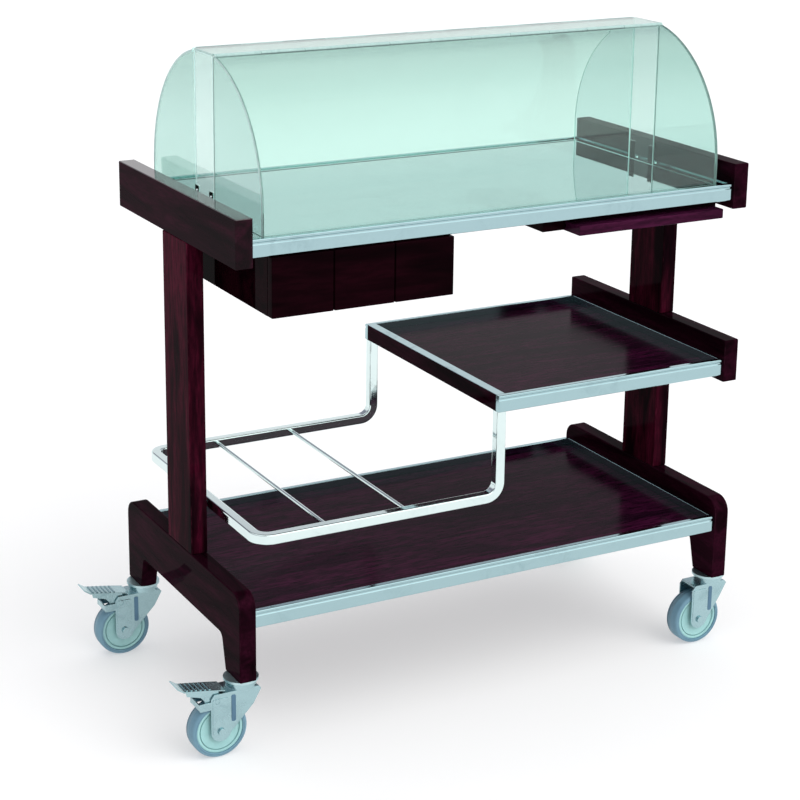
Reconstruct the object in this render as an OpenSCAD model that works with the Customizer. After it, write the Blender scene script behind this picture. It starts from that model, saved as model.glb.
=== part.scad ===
// Dessert trolley: two wooden end frames on casters, three shelf levels, a clear domed
// cover over the top tray, three cutlery drawers and a pull-out serving board.
// X runs along the length, Y from front (-) to back (+), Z up. Millimetres. The origin is on
// the floor under the middle of the overall box. Modules draw about the middle of the frames,
// and about_frames() moves them to their place.

/* [End frames] */
// Clear length between the two end frames
inner_length = 930; // [900:5:1100]
// Thickness of the end frame boards
board_t = 30; // [26:1:36]
// Depth of the end frames, front to back
frame_depth = 500; // [495:5:560]
// Height of the top rail's upper edge above the floor
rail_top = 918; // [910:2:960]
// Height of the top rail board
rail_h = 81; // [70:1:90]
// Height of the middle rail's upper edge above the floor
mid_rail_top = 594; // [560:2:620]
// Height of the middle rail board
mid_rail_h = 78; // [66:1:84]
// Height of the foot beam's upper edge above the floor
foot_top = 287; // [275:1:300]
// Height of the foot beam board above its legs
foot_beam_h = 93; // [80:1:100]
// Width of a foot beam leg at its lower end
leg_w = 60; // [56:1:80]
// How much wider a leg is at its root than at its lower end
leg_taper = 12; // [4:1:20]
// Radius of the foot beam's upper corners
foot_corner_r = 28; // [10:1:40]
// Radius of the inner corners under the foot beam
foot_fillet = 12; // [4:1:20]
// Width of the posts, front to back
post_w = 104; // [90:2:120]
// Radius of the edge rounding on the boards
edge_r = 2; // [1:0.5:4]
// Diameter of the dowels in the frame joints
dowel_d = 12; // [8:1:14]
// Length of the dowels
dowel_len = 70; // [50:2:80]

/* [Shelves] */
// Depth of the shelves, front to back
shelf_depth = 490; // [484:1:495]
// Drop from the top rail's edge to the tray rim
tray_drop = 36; // [30:1:40]
// Drop from the middle rail's edge to the middle shelf's rim
mid_drop = 36; // [30:1:40]
// Drop from the foot beam's edge to the bottom shelf's rim
bottom_drop = 32; // [30:1:40]
// Height of the stainless edge strips
strip_h = 30; // [28:1:36]
// Thickness of the stainless edge strips along front and back
strip_t = 10; // [8:1:12]
// Thickness of the edge strips at the end frames
end_strip_t = 4; // [3:0.5:6]
// Width of the flange under the panels' edges
flange_w = 8; // [5:1:10]
// Thickness of the flange under the panels' edges
flange_t = 2; // [1.5:0.5:3]
// How far the middle and bottom shelf surfaces lie below their rims
rim_h = 14; // [6:1:16]
// How far the tray surface lies below its rim
tray_rim_h = 2; // [1:0.5:3]
// Thickness of the mirror sheet in the top tray
mirror_t = 1.5; // [1:0.1:3]
// Clearance between a panel and its edge strips
panel_gap = 0.2; // [0.1:0.1:1]
// Left end of the middle shelf, measured from the middle of the trolley
mid_left = -6; // [-30:1:30]
// Diameter of the screws that hold the shelves to the end frames
screw_d = 5; // [4:0.5:6]
// Length of those screws
screw_len = 24; // [18:1:26]

/* [Guard rail] */
// Width of the square guard rail tube
tube_w = 18; // [16:1:20]
// Wall of the guard rail tube
tube_wall = 1.5; // [1:0.1:2]
// Rounding of the tube's long edges
tube_r = 3; // [2.5:0.1:4]
// Centre-line radius of the tube bends
bend_r = 26; // [20:1:40]
// Height of the guard rail's lower face above the floor
guard_z = 364; // [330:1:400]
// How far the guard rail's outer faces lie behind the shelves' front and back edges
guard_setback = 3; // [1:0.5:10]
// Gap between the left post and the guard rail
guard_gap = 5; // [3:0.5:15]
// Diameter of the spacers in that gap
spacer_d = 12; // [8:1:15]
// Diameter of the cross rods
rod_d = 7; // [5:0.5:10]
// Place of the first cross rod along X
rod_a_x = -323; // [-360:1:-260]
// Place of the second cross rod along X
rod_b_x = -172; // [-220:1:-110]

/* [Drawers] */
// Gap between the left end frame and the drawer case
case_inset = 32; // [25:1:55]
// Width of the drawer case
case_w = 330; // [300:2:360]
// Height of the drawer case and its fronts
case_h = 101; // [80:1:120]
// Depth of the drawer case behind the fronts
case_depth = 400; // [300:5:440]
// Board thickness of the drawer case
case_t = 10; // [8:0.5:14]
// Thickness of a drawer front
front_t = 18; // [12:1:22]
// Gap between neighbouring drawer fronts, and between the fronts and the tray
front_gap = 2; // [1:0.5:4]
// Depth of the finger groove in the lower edge of a drawer front
grip_h = 7; // [4:0.5:10]
// Wall of a drawer box
drawer_wall = 7; // [5:0.5:9]
// Clearance of a drawer box at its sides
drawer_side_gap = 1; // [0.5:0.1:2]
// Running gap under a drawer box and behind its front
drawer_seat_gap = 0.3; // [0.2:0.1:0.6]
// How far a drawer box stays below the tray
drawer_headroom = 6; // [3:0.5:12]

/* [Serving board] */
// Length of the serving board along X
board_len = 301; // [260:1:306]
// Depth of the serving board
board_depth = 350; // [300:5:420]
// Thickness of the serving board
serve_t = 17; // [15:0.5:20]
// Gap between the serving board and the tray's edge strip above it
serve_top_gap = 12; // [9:0.5:16]
// Height of the groove in each end of the serving board
groove_h = 6; // [5:0.5:8]
// Depth of that groove
groove_d = 9; // [6:0.5:12]
// Running gap around the tongue in the groove
tongue_gap = 0.3; // [0.2:0.1:0.6]
// Running gap between the board's ends and the cleats
cleat_gap = 1; // [0.5:0.1:2]
// Width of the left cleat
cleat_w = 45; // [30:1:60]
// Width of the right cleat, between the board and the tray's end strip
right_cleat_w = 16; // [10:1:30]
// How far the cleats begin behind the board's front
cleat_setback = 45; // [30:1:60]

/* [Dome] */
// Length of the dome over its end panels
dome_len = 880; // [800:5:890]
// Outer radius of the curved covers
dome_r = 226; // [200:1:228]
// Distance of the dome's middle plane from the trolley's, front to back
dome_y = -5; // [-6:0.5:6]
// Height of the straight part of the covers above the tray's rim
dome_skirt = 36; // [20:1:60]
// Thickness of the clear sheets
sheet_t = 4; // [3:0.5:5]
// Width of the fixed centre arch
arch_w = 75; // [60:1:110]
// How far the arch's flat top stands above the edges of the curved covers
arch_rise = 2; // [1.5:0.1:3]
// Gap between the centre arch and the covers' end panels
arch_gap = 1; // [0.5:0.1:1.5]
// Diameter of the hinge rods
hinge_rod_d = 3; // [2.5:0.1:4]
// Outside diameter of the hinge knuckles
knuckle_d = 8; // [7:0.1:9]
// Number of knuckles along each hinge
knuckle_count = 11; // [7:2:15]
// Gap between neighbouring knuckles
knuckle_gap = 0.6; // [0.4:0.1:1.5]
// Gap between a knuckle and the sheet that it turns past
knuckle_clear = 0.6; // [0.5:0.1:1]
// Radial running clearance of the hinge rods in the covers' knuckles
rod_fit = 0.05; // [0.02:0.01:0.1]
// Gap between the covers' lower edges and the tray
cover_lift = 0.3; // [0.2:0.1:0.6]
// Height of the brackets at the foot of the centre arch
bracket_h = 34; // [20:1:50]
// Width of those brackets
bracket_w = 16; // [12:1:24]
// Thickness of those brackets
bracket_t = 2; // [1.5:0.5:3]

/* [Casters] */
// Diameter of the caster wheels
wheel_d = 100; // [92:1:104]
// Width of the caster wheels
wheel_w = 32; // [26:1:36]
// Height from the floor to the underside of the foot beam legs
caster_h = 133; // [131:1:145]
// How far the axle of a braked caster trails behind its swivel axis
trail_braked = 45; // [42:1:46]
// How far the axle of a plain caster trails behind its swivel axis
trail_plain = 31; // [26:1:36]
// Distance of the swivel axes from the front and back ends of the foot beams
caster_inset = 31; // [30:1:34]
// Diameter of the swivel head's top disc
head_d = 60; // [56:1:62]
// Thickness of that disc
head_t = 4; // [3:0.5:5]
// Height of the ball race between the top disc and the fork
race_h = 11; // [10:0.5:12]
// Outside diameter of the fork's race ring
race_d = 52; // [48:1:54]
// Vertical gap in the ball race
race_gap = 0.3; // [0.2:0.1:0.5]
// Diameter of the kingpins
kingpin_d = 12; // [10:0.5:14]
// Diameter of the threaded stems in the legs
stem_d = 10; // [8:1:12]
// Length of the stems in the legs
stem_len = 40; // [30:1:50]
// Radial running clearance of the kingpins, axles and brake pivots
pin_fit = 0.05; // [0.02:0.01:0.1]
// Thickness of the fork sheet
fork_t = 2.5; // [2:0.1:3]
// Gap between the wheel and the fork cheeks
cheek_gap = 2; // [1:0.1:3]
// Radius of the fork cheeks around the axle
cheek_r = 18; // [12:0.5:20]
// Height of the pressed rib on the fork cheeks
cheek_rib = 1.2; // [0.8:0.1:2]
// Diameter of the axle bolts
axle_d = 8; // [6:0.5:10]
// Diameter of the axle bolt's head and nut
bolt_head_d = 13; // [11:0.5:16]
// Radial thickness of the tyre
tyre_t = 8.5; // [8:0.5:12]
// Rounding of the tyre's tread edges
tyre_r = 5; // [3:0.5:5.5]
// Depth of the dished face of the wheel centres
dish_depth = 2; // [1:0.5:4]
// Width of the ring groove near the rim of the wheel centres
groove_w = 1.4; // [1:0.1:2]
// Width of the brake pedals
pedal_w = 36; // [30:1:38]
// Thickness of the brake pedal sheet
pedal_t = 2; // [1.5:0.1:3]
// Diameter of the brake pivot pins
pivot_d = 5; // [4:0.5:6]
// Gap between the brake shoe and the tyre when the brake is off
shoe_gap = 3.9; // [3.8:0.1:4.5]

/* [Hidden] */
$fn = 48;
fine_fn = 144;
overlap = 0.01;
half_in = inner_length / 2;
half_len = half_in + board_t;
half_d = frame_depth / 2;
half_s = shelf_depth / 2;
rail_bottom = rail_top - rail_h;
mid_rail_bottom = mid_rail_top - mid_rail_h;
tray_z = rail_top - tray_drop;
mid_z = mid_rail_top - mid_drop;
bottom_z = foot_top - bottom_drop;
tray_surface = tray_z - tray_rim_h;
tray_bottom = tray_z - strip_h;
dowel_y = post_w / 4;
screw_inset = 20;
screw_y = half_s - strip_t - flange_w - screw_inset;
screw_head_d = 2 * screw_d;
screw_head_h = 2.5;
screw_head_room = 1.5;
pocket_d = screw_head_d + 2;
screw_drop = rim_h + pocket_d / 2 + screw_head_room;

// Guard rail: centre lines of its tube
tube_y = half_s - guard_setback - tube_w / 2;
tube_z = guard_z + tube_w / 2;
tube_left = -half_in + guard_gap + tube_w / 2;
tube_right = mid_left + tube_w / 2;

// Drawers: three slots side by side
slot_count = 3;
case_x = -half_in + case_inset;
slot_w = (case_w - case_t * (slot_count + 1)) / slot_count;
front_w = (case_w - front_gap * (slot_count - 1)) / slot_count;
case_y = -half_d + front_t;
case_z = tray_bottom - case_h;

// Serving board: it ends at the right cleat
board_x = half_in - end_strip_t - right_cleat_w - cleat_gap - board_len;
serve_top = tray_bottom - serve_top_gap;
serve_bottom = serve_top - serve_t;
groove_z = (serve_top + serve_bottom) / 2;

// Dome: centre line, arch and hinge axes
half_dome = dome_len / 2;
dome_z = tray_z + dome_skirt;
arch_top = dome_z + sqrt(pow(dome_r, 2) - pow(arch_w / 2, 2)) + arch_rise;
knuckle_r = knuckle_d / 2;
hinge_y = arch_w / 2 + knuckle_r + knuckle_clear;
hinge_z = arch_top - knuckle_r + 0.5;
cover_edge = hinge_y + knuckle_r + knuckle_clear;
cover_foot = tray_surface + cover_lift;
knuckle_pitch = (dome_len - 2 * sheet_t) / knuckle_count;

// Casters: heights from the floor
caster_x = half_in + board_t / 2;
caster_y = half_d - caster_inset;
axle_z = wheel_d / 2;
crown_z = caster_h - head_t - race_h;
cheek_in = wheel_w / 2 + cheek_gap;
cheek_out = cheek_in + fork_t;
hub_r = wheel_d / 2 - tyre_t;
crown_back = 46;
crown_front = 28;
pivot_x = -52;
pivot_z = crown_z - 12;
ear_len = 32;
ear_h = 14;
pedal_tip = -120;
pedal_knee = [-108, crown_z + 14];
pedal_bend = [-58, crown_z + 6];
frames_x = (pedal_t / 2 - pedal_tip - head_d / 2) / 2;

// Place of each caster and how far its axle trails
CASTERS = [
    [-caster_x, -caster_y, trail_braked],
    [-caster_x, caster_y, trail_braked],
    [caster_x, -caster_y, trail_plain],
    [caster_x, caster_y, trail_plain],
];

// Colours
dark_wood = [0.13, 0.03, 0.04];
red_wood = [0.3, 0.11, 0.12];
plain_wood = [0.45, 0.3, 0.2];
steel = [0.76, 0.8, 0.82];
board_red = [0.3, 0.06, 0.1];
hub_mint = [0.78, 0.94, 0.88];
tyre_grey = [0.36, 0.45, 0.52];
clear = [0.68, 0.9, 0.88, 0.45];

// ---- shared shapes ----

// Moves what is drawn about the middle of the frames to its place in the overall box
module about_frames() {
    translate([frames_x, 0, 0]) children();
}

// Box from its lowest to its highest corner
module span(a, b) {
    translate(a) cube(b - a);
}

// Rectangle with rounded corners, from its lowest to its highest corner
module round_rect(a, b, r) {
    translate([a[0] + r, a[1]]) square([b[0] - a[0] - 2 * r, b[1] - a[1]]);
    translate([a[0], a[1] + r]) square([b[0] - a[0], b[1] - a[1] - 2 * r]);
    for (x = [a[0] + r, b[0] - r], y = [a[1] + r, b[1] - r]) translate([x, y]) circle(r);
}

// Extrudes a profile drawn in Y and Z along X, from x0 to x1
module along_x(x0, x1) {
    translate([x0, 0, 0]) rotate([90, 0, 90]) linear_extrude(x1 - x0) children();
}

// Extrudes a profile drawn in X and Z along Y, from y0 to y1
module along_y(y0, y1) {
    translate([0, y1, 0]) rotate([90, 0, 0]) linear_extrude(y1 - y0) children();
}

// Cylinder along X, from x0 to x1
module pin_x(d, x0, x1) {
    translate([x0, 0, 0]) rotate([0, 90, 0]) cylinder(h = x1 - x0, d = d);
}

// Cylinder along Y, from y0 to y1
module pin_y(d, y0, y1) {
    translate([0, y1, 0]) rotate([90, 0, 0]) cylinder(h = y1 - y0, d = d);
}

// ---- end frames ----

// Lower X of the left (-1) or right (1) end frame
function frame_x(side) = side < 0 ? -half_len : half_in;

// Dowels that join two boards of one end frame at the given height
module dowels_at(side, z) {
    for (s = [-1, 1]) translate([side * caster_x, s * dowel_y, z - dowel_len / 2])
        cylinder(h = dowel_len, d = dowel_d);
}

// Dowels of both end frames
module all_dowels() {
    for (z = [foot_top, rail_bottom]) dowels_at(-1, z);
    for (z = [foot_top, mid_rail_bottom, mid_rail_top, rail_bottom]) dowels_at(1, z);
}

// One screw from inside a shelf's end strip into the end frame
module screw_at(side, y, z) {
    x = side * (half_in - end_strip_t);
    translate([x, y, z]) rotate([0, side * 90, 0]) {
        cylinder(h = screw_len, d = screw_d);
        translate([0, 0, -screw_head_h]) cylinder(h = screw_head_h, d = screw_head_d);
    }
}

// Screws of all shelves, through the end strips into the end frames, below the panels' surfaces
module all_screws() {
    for (s = [-1, 1], side = [-1, 1]) {
        screw_at(side, s * screw_y, tray_z - screw_drop);
        screw_at(side, s * screw_y, bottom_z - screw_drop);
    }
    for (s = [-1, 1]) screw_at(1, s * screw_y, mid_z - screw_drop);
}

// Board on edge that runs the full depth of an end frame
module rail_board(side, z0, z1) {
    about_frames() color(dark_wood) difference() {
        along_y(-half_d, half_d)
            round_rect([frame_x(side), z0], [frame_x(side) + board_t, z1], edge_r);
        all_dowels();
        all_screws();
    }
}

// Upright board of an end frame
module post_board(side, z0, z1) {
    about_frames() color(dark_wood) difference() {
        translate([0, 0, z0]) linear_extrude(z1 - z0)
            round_rect([frame_x(side), -post_w / 2], [frame_x(side) + board_t, post_w / 2], edge_r);
        all_dowels();
    }
}

// Outline of a foot beam in Y and Z: a board with two legs and rounded inner corners
module foot_outline() {
    inner_bottom = half_d - leg_w;
    inner_top = inner_bottom - leg_taper;
    beam_bottom = foot_top - foot_beam_h;
    shoulder = beam_bottom - foot_fillet;
    difference() {
        translate([-half_d, caster_h]) square([frame_depth, foot_top - caster_h]);
        for (s = [-1, 1]) difference() {
            translate([s * half_d, foot_top]) square(2 * foot_corner_r, center = true);
            translate([s * (half_d - foot_corner_r), foot_top - foot_corner_r])
                circle(foot_corner_r);
        }
        polygon([
            [-inner_bottom, caster_h - 1], [inner_bottom, caster_h - 1],
            [inner_top, shoulder], [-inner_top, shoulder],
        ]);
        translate([-inner_top, shoulder - overlap]) intersection() {
            square([2 * inner_top, foot_fillet + overlap]);
            round_rect([0, -foot_fillet], [2 * inner_top, foot_fillet + overlap], foot_fillet);
        }
    }
}

// Foot beam with the blind holes for the stems of its casters
module foot_beam(side) {
    about_frames() color(dark_wood) difference() {
        along_x(frame_x(side), frame_x(side) + board_t) foot_outline();
        for (s = [-1, 1]) translate([side * caster_x, s * caster_y, caster_h - 1])
            cylinder(h = stem_len + 1, d = stem_d);
        all_dowels();
        all_screws();
    }
}

module left_foot_beam() { foot_beam(-1); }
module left_post() { post_board(-1, foot_top, rail_bottom); }
module left_top_rail() { rail_board(-1, rail_bottom, rail_top); }
module right_foot_beam() { foot_beam(1); }
module right_post_lower() { post_board(1, foot_top, mid_rail_bottom); }
module right_mid_rail() { rail_board(1, mid_rail_bottom, mid_rail_top); }
module right_post_upper() { post_board(1, mid_rail_top, rail_bottom); }
module right_top_rail() { rail_board(1, rail_bottom, rail_top); }
module frame_dowels() { about_frames() color(plain_wood) all_dowels(); }
module shelf_screws() { about_frames() color(steel) all_screws(); }

// ---- shelves ----

// Stainless edge of a shelf: strips on all four sides with a flange under the panel
module shelf_edge(x0, x1, top, left_t) {
    z0 = top - strip_h;
    y1 = half_s - strip_t;
    about_frames() color(steel) difference() {
        union() {
            for (s = [-1, 1]) along_x(x0, x1) {
                y0 = s < 0 ? -half_s : y1;
                round_rect([y0, z0], [y0 + strip_t, top], 1);
            }
            span([x0, -y1 - overlap, z0], [x0 + left_t, y1 + overlap, top]);
            span([x1 - end_strip_t, -y1 - overlap, z0], [x1, y1 + overlap, top]);
            difference() {
                span([x0, -y1 - overlap, z0], [x1, y1 + overlap, z0 + flange_t]);
                span([x0 + left_t + flange_w, -y1 + flange_w, z0 - 1],
                     [x1 - end_strip_t - flange_w, y1 - flange_w, z0 + flange_t + 1]);
            }
        }
        all_screws();
    }
}

// Panel that lies on the flanges of its edge strips and is flush with them below
module shelf_panel(x0, x1, top, bottom) {
    y1 = half_s - strip_t - panel_gap;
    inset = flange_w + panel_gap;
    difference() {
        union() {
            span([x0 + panel_gap, -y1, bottom + flange_t], [x1 - panel_gap, y1, top]);
            span([x0 + inset, -y1 + flange_w, bottom],
                 [x1 - inset, y1 - flange_w, bottom + flange_t + overlap]);
        }
        all_screw_pockets();
    }
}

// Room in the panels for the heads of the shelf screws
module all_screw_pockets() {
    for (s = [-1, 1], side = [-1, 1], z = [tray_z, mid_z, bottom_z])
        translate([side * (half_in - end_strip_t), s * screw_y, z - screw_drop])
            rotate([0, -side * 90, 0]) translate([0, 0, -1])
                cylinder(h = screw_head_h + screw_head_room + 1, d = pocket_d);
}

module tray_frame() { shelf_edge(-half_in, half_in, tray_z, end_strip_t); }

module tray_deck() {
    x1 = half_in - end_strip_t;
    about_frames() color(dark_wood)
        shelf_panel(-x1, x1, tray_surface - mirror_t, tray_bottom);
}

module tray_mirror() {
    x1 = half_in - end_strip_t - panel_gap;
    y1 = half_s - strip_t - panel_gap;
    about_frames() color(steel) span([-x1, -y1, tray_surface - mirror_t], [x1, y1, tray_surface]);
}

module mid_shelf_frame() { shelf_edge(mid_left, half_in, mid_z, tube_w); }

module mid_shelf_panel() {
    about_frames() color(red_wood)
        shelf_panel(mid_left + tube_w, half_in - end_strip_t, mid_z - rim_h, mid_z - strip_h);
}

module bottom_shelf_frame() { shelf_edge(-half_in, half_in, bottom_z, end_strip_t); }

module bottom_shelf_panel() {
    x1 = half_in - end_strip_t;
    about_frames() color(red_wood)
        shelf_panel(-x1, x1, bottom_z - rim_h, bottom_z - strip_h);
}

// ---- guard rail ----

// Hollow square section of the guard rail, centred
module tube_section() {
    outer = tube_w / 2;
    inner = outer - tube_wall;
    difference() {
        round_rect([-outer, -outer], [outer, outer], tube_r);
        round_rect([-inner, -inner], [inner, inner], tube_r - tube_wall);
    }
}

// Straight tube along +Z from the origin
module tube_run(len) {
    linear_extrude(len) tube_section();
}

// Quarter bend in the XY plane about the origin, starting on the +X axis
module tube_bend() {
    rotate_extrude(angle = 90, $fn = fine_fn) translate([bend_r, 0]) tube_section();
}

// Front (-1) or back (1) half of the loop: upright, bend, level run and corner
module guard_side(s) {
    shelf_bottom = mid_z - strip_h;
    translate([tube_right, s * tube_y, tube_z + bend_r]) tube_run(shelf_bottom - tube_z - bend_r);
    translate([tube_right - bend_r, s * tube_y, tube_z + bend_r])
        rotate([90, 0, 0]) rotate([0, 0, -90]) tube_bend();
    translate([tube_left + bend_r, s * tube_y, tube_z]) rotate([0, 90, 0])
        tube_run(tube_right - tube_left - 2 * bend_r);
    translate([tube_left + bend_r, s * (tube_y - bend_r), tube_z])
        rotate([0, 0, s > 0 ? 90 : 180]) tube_bend();
}

module guard_rail() {
    about_frames() color(steel) {
        for (s = [-1, 1]) guard_side(s);
        translate([tube_left, tube_y - bend_r, tube_z]) rotate([90, 0, 0])
            tube_run(2 * (tube_y - bend_r));
    }
}

module guard_rods() {
    y = tube_y - tube_w / 2;
    about_frames() color(steel) for (x = [rod_a_x, rod_b_x])
        translate([x, 0, tube_z]) pin_y(rod_d, -y, y);
}

// Spacers between the left post and the guard rail
module guard_spacers() {
    about_frames() color(steel) for (s = [-1, 1]) translate([0, s * dowel_y, tube_z])
        pin_x(spacer_d, -half_in, -half_in + guard_gap);
}

// ---- drawers ----

// Left side of slot i inside the case
function slot_x(i) = case_x + case_t + i * (slot_w + case_t);

module drawer_case() {
    y1 = case_y + case_depth;
    floor_z = case_z + case_t;
    about_frames() color(dark_wood) {
        span([case_x, case_y, case_z], [case_x + case_w, y1, floor_z]);
        for (i = [0 : slot_count]) span([slot_x(i) - case_t, case_y, floor_z - overlap],
                                        [slot_x(i), y1, tray_bottom]);
        span([case_x, y1 - case_t, floor_z - overlap], [case_x + case_w, y1, tray_bottom]);
    }
}

// Open box of the drawer in slot i
module drawer_box(i) {
    a = [slot_x(i) + drawer_side_gap, case_y - drawer_seat_gap, case_z + case_t + drawer_seat_gap];
    b = [slot_x(i) + slot_w - drawer_side_gap, case_y + case_depth - case_t - drawer_seat_gap,
         tray_bottom - drawer_headroom];
    wall = [drawer_wall, drawer_wall, 0];
    about_frames() color(plain_wood) difference() {
        span(a, b);
        span(a + wall + [0, 0, drawer_wall], b - wall + [0, 0, 1]);
    }
}

// Front of the drawer in slot i, with a finger groove along its lower edge
module drawer_front(i) {
    x0 = case_x + i * (front_w + front_gap);
    y1 = case_y - drawer_seat_gap;
    z1 = tray_bottom - front_gap;
    about_frames() color(dark_wood) difference() {
        translate([0, 0, case_z]) linear_extrude(z1 - case_z)
            round_rect([x0, -half_d], [x0 + front_w, y1], edge_r);
        span([x0 + 2 * edge_r, -half_d + 5, case_z - 1],
             [x0 + front_w - 2 * edge_r, y1 - 3, case_z + grip_h]);
    }
}

module left_drawer_box() { drawer_box(0); }
module left_drawer_front() { drawer_front(0); }
module middle_drawer_box() { drawer_box(1); }
module middle_drawer_front() { drawer_front(1); }
module right_drawer_box() { drawer_box(2); }
module right_drawer_front() { drawer_front(2); }

// ---- serving board ----

module serving_board() {
    x1 = board_x + board_len;
    about_frames() color(board_red) difference() {
        along_x(board_x, x1) round_rect([-half_d, serve_bottom],
                                        [-half_d + board_depth, serve_top], edge_r);
        for (x0 = [board_x - 1, x1 - groove_d])
            span([x0, -half_d + cleat_setback - 1, groove_z - groove_h / 2],
                 [x0 + groove_d + 1, -half_d + board_depth + 1, groove_z + groove_h / 2]);
    }
}

// Cleats under the tray whose tongues run in the serving board's grooves
module board_cleats() {
    y0 = -half_d + cleat_setback;
    y1 = -half_d + board_depth;
    z0 = serve_bottom + 2;
    tongue = groove_h / 2 - tongue_gap;
    reach = groove_d - tongue_gap;
    x0 = board_x - cleat_gap;
    x1 = board_x + board_len + cleat_gap;
    about_frames() color(dark_wood) {
        span([x0 - cleat_w, y0, z0], [x0, y1, tray_bottom]);
        span([x0 - 1, y0 + cleat_gap, groove_z - tongue],
             [board_x + reach, y1, groove_z + tongue]);
        span([x1, y0, z0], [half_in - end_strip_t, y1, tray_bottom]);
        span([board_x + board_len - reach, y0 + cleat_gap, groove_z - tongue],
             [x1 + 1, y1, groove_z + tongue]);
    }
}

// ---- dome ----

// Upright of the fixed centre arch at one end
module dome_upright(side) {
    x0 = side < 0 ? -half_dome : half_dome - sheet_t;
    about_frames() color(clear) span([x0, dome_y - arch_w / 2, tray_surface],
                      [x0 + sheet_t, dome_y + arch_w / 2, arch_top - sheet_t]);
}

module dome_left_upright() { dome_upright(-1); }
module dome_right_upright() { dome_upright(1); }

// Every second knuckle of one hinge, with the tongue that joins it to its sheet.
// The arch has the even ones, whose tongues point to +Y, and a cover the odd ones.
module knuckle_row(parity, bore) {
    len = knuckle_pitch - knuckle_gap;
    reach = knuckle_r + knuckle_clear + 1;
    for (i = [parity : 2 : knuckle_count - 1]) {
        x0 = -half_dome + sheet_t + i * knuckle_pitch + knuckle_gap / 2;
        difference() {
            union() {
                pin_x(knuckle_d, x0, x0 + len);
                if (parity == 0) span([x0, 0, arch_top - hinge_z - sheet_t],
                                      [x0 + len, reach, arch_top - hinge_z]);
                else span([x0, -reach, -sheet_t], [x0 + len, 0, -0.5]);
            }
            pin_x(bore, x0 - 1, x0 + len + 1);
        }
    }
}

module dome_top_strip() {
    about_frames() color(clear) {
        span([-half_dome, dome_y - arch_w / 2, arch_top - sheet_t],
             [half_dome, dome_y + arch_w / 2, arch_top]);
        translate([0, dome_y - hinge_y, hinge_z]) knuckle_row(0, hinge_rod_d);
        translate([0, dome_y + hinge_y, hinge_z]) mirror([0, 1, 0]) knuckle_row(0, hinge_rod_d);
    }
}

// One angle bracket outside the left upright, with a screw through each leg
module dome_bracket() {
    foot = 20;
    along_y(-bracket_w / 2, bracket_w / 2) polygon([
        [0, 0], [0, bracket_h], [-bracket_t, bracket_h], [-bracket_t, bracket_t],
        [-foot, bracket_t], [-foot, 0],
    ]);
    translate([-bracket_t, 0, bracket_h * 0.7]) rotate([0, -90, 0])
        cylinder(h = 2, d1 = 8, d2 = 5);
    translate([-foot * 0.6, 0, bracket_t]) cylinder(h = 2, d1 = 8, d2 = 5);
}

module dome_brackets() {
    y = arch_w / 2 - bracket_w / 2;
    about_frames() color(steel) for (side = [0, 1], s = [-1, 1]) mirror([side, 0, 0])
        translate([-half_dome, dome_y + s * y, tray_surface]) dome_bracket();
}

module hinge_rods() {
    about_frames() color(steel) for (s = [-1, 1]) translate([0, dome_y + s * hinge_y, hinge_z])
        pin_x(hinge_rod_d, -half_dome, half_dome);
}

// Space under the front cover's curve of radius r, in Y and Z from the dome's centre line,
// as far as y1: a quarter disc on a straight skirt
module cover_profile(r, y1) {
    foot = cover_foot - dome_z;
    intersection() {
        union() {
            circle(r, $fn = fine_fn);
            translate([-r, foot]) square([r, -foot]);
        }
        translate([-r - 1, foot]) square([r + 1 + y1, r + 1 - foot]);
    }
}

// Curved sheet of the front cover with its hinge knuckles
module cover_shell() {
    inner_r = dome_r - sheet_t;
    foot = cover_foot - dome_z;
    about_frames() color(clear) translate([0, dome_y, 0]) {
        translate([0, 0, dome_z]) along_x(-half_dome, half_dome) difference() {
            cover_profile(dome_r, -cover_edge);
            circle(inner_r, $fn = fine_fn);
            translate([-inner_r, foot - 1]) square([inner_r, 1 - foot]);
        }
        translate([0, -hinge_y, hinge_z]) knuckle_row(1, hinge_rod_d + 2 * rod_fit);
    }
}

// The two flat end panels of the front cover, with an ear round the hinge rod
module cover_ends() {
    about_frames() color(clear) translate([0, dome_y, 0]) difference() {
        for (x0 = [-half_dome, half_dome - sheet_t]) {
            translate([0, 0, dome_z]) along_x(x0, x0 + sheet_t) difference() {
                cover_profile(dome_r - sheet_t, -arch_w / 2 - arch_gap);
                translate([-hinge_y, hinge_z - dome_z - knuckle_r / 2]) square(knuckle_d);
            }
            translate([0, -hinge_y, hinge_z]) pin_x(knuckle_d, x0, x0 + sheet_t);
        }
        translate([0, -hinge_y, hinge_z])
            pin_x(hinge_rod_d + 2 * rod_fit, -half_dome - 1, half_dome + 1);
    }
}

// Mirrors the front cover to the back of the dome
module to_back() {
    translate([0, 2 * dome_y, 0]) mirror([0, 1, 0]) children();
}

module front_cover_shell() { cover_shell(); }
module front_cover_ends() { cover_ends(); }
module back_cover_shell() { to_back() cover_shell(); }
module back_cover_ends() { to_back() cover_ends(); }

// ---- casters ----
// Each caster is drawn about its own swivel axis, with the wheel trailing towards -X.

// Places one caster part at caster i
module at_caster(i) {
    translate([CASTERS[i][0], CASTERS[i][1], 0]) children();
}

// How far the axle of caster i trails
function trail(i) = CASTERS[i][2];

// Fixed top of a caster: stem, disc, inner race and the kingpin with its end nut
module caster_head() {
    nut_h = 6;
    race_in = race_d - 8;
    plate_bottom = crown_z - fork_t;
    translate([0, 0, caster_h - overlap]) cylinder(h = stem_len + overlap, d = stem_d);
    translate([0, 0, caster_h - head_t]) cylinder(h = head_t, d = head_d);
    translate([0, 0, crown_z + race_gap])
        cylinder(h = race_h - race_gap + overlap, d = race_in);
    translate([0, 0, plate_bottom - nut_h]) cylinder(h = fork_t + nut_h + 2, d = kingpin_d);
    translate([0, 0, plate_bottom - race_gap - nut_h]) cylinder(h = nut_h, d = kingpin_d + 8);
}

module caster_heads() {
    about_frames() color(steel) for (i = [0 : 3]) at_caster(i) caster_head();
}

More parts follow.
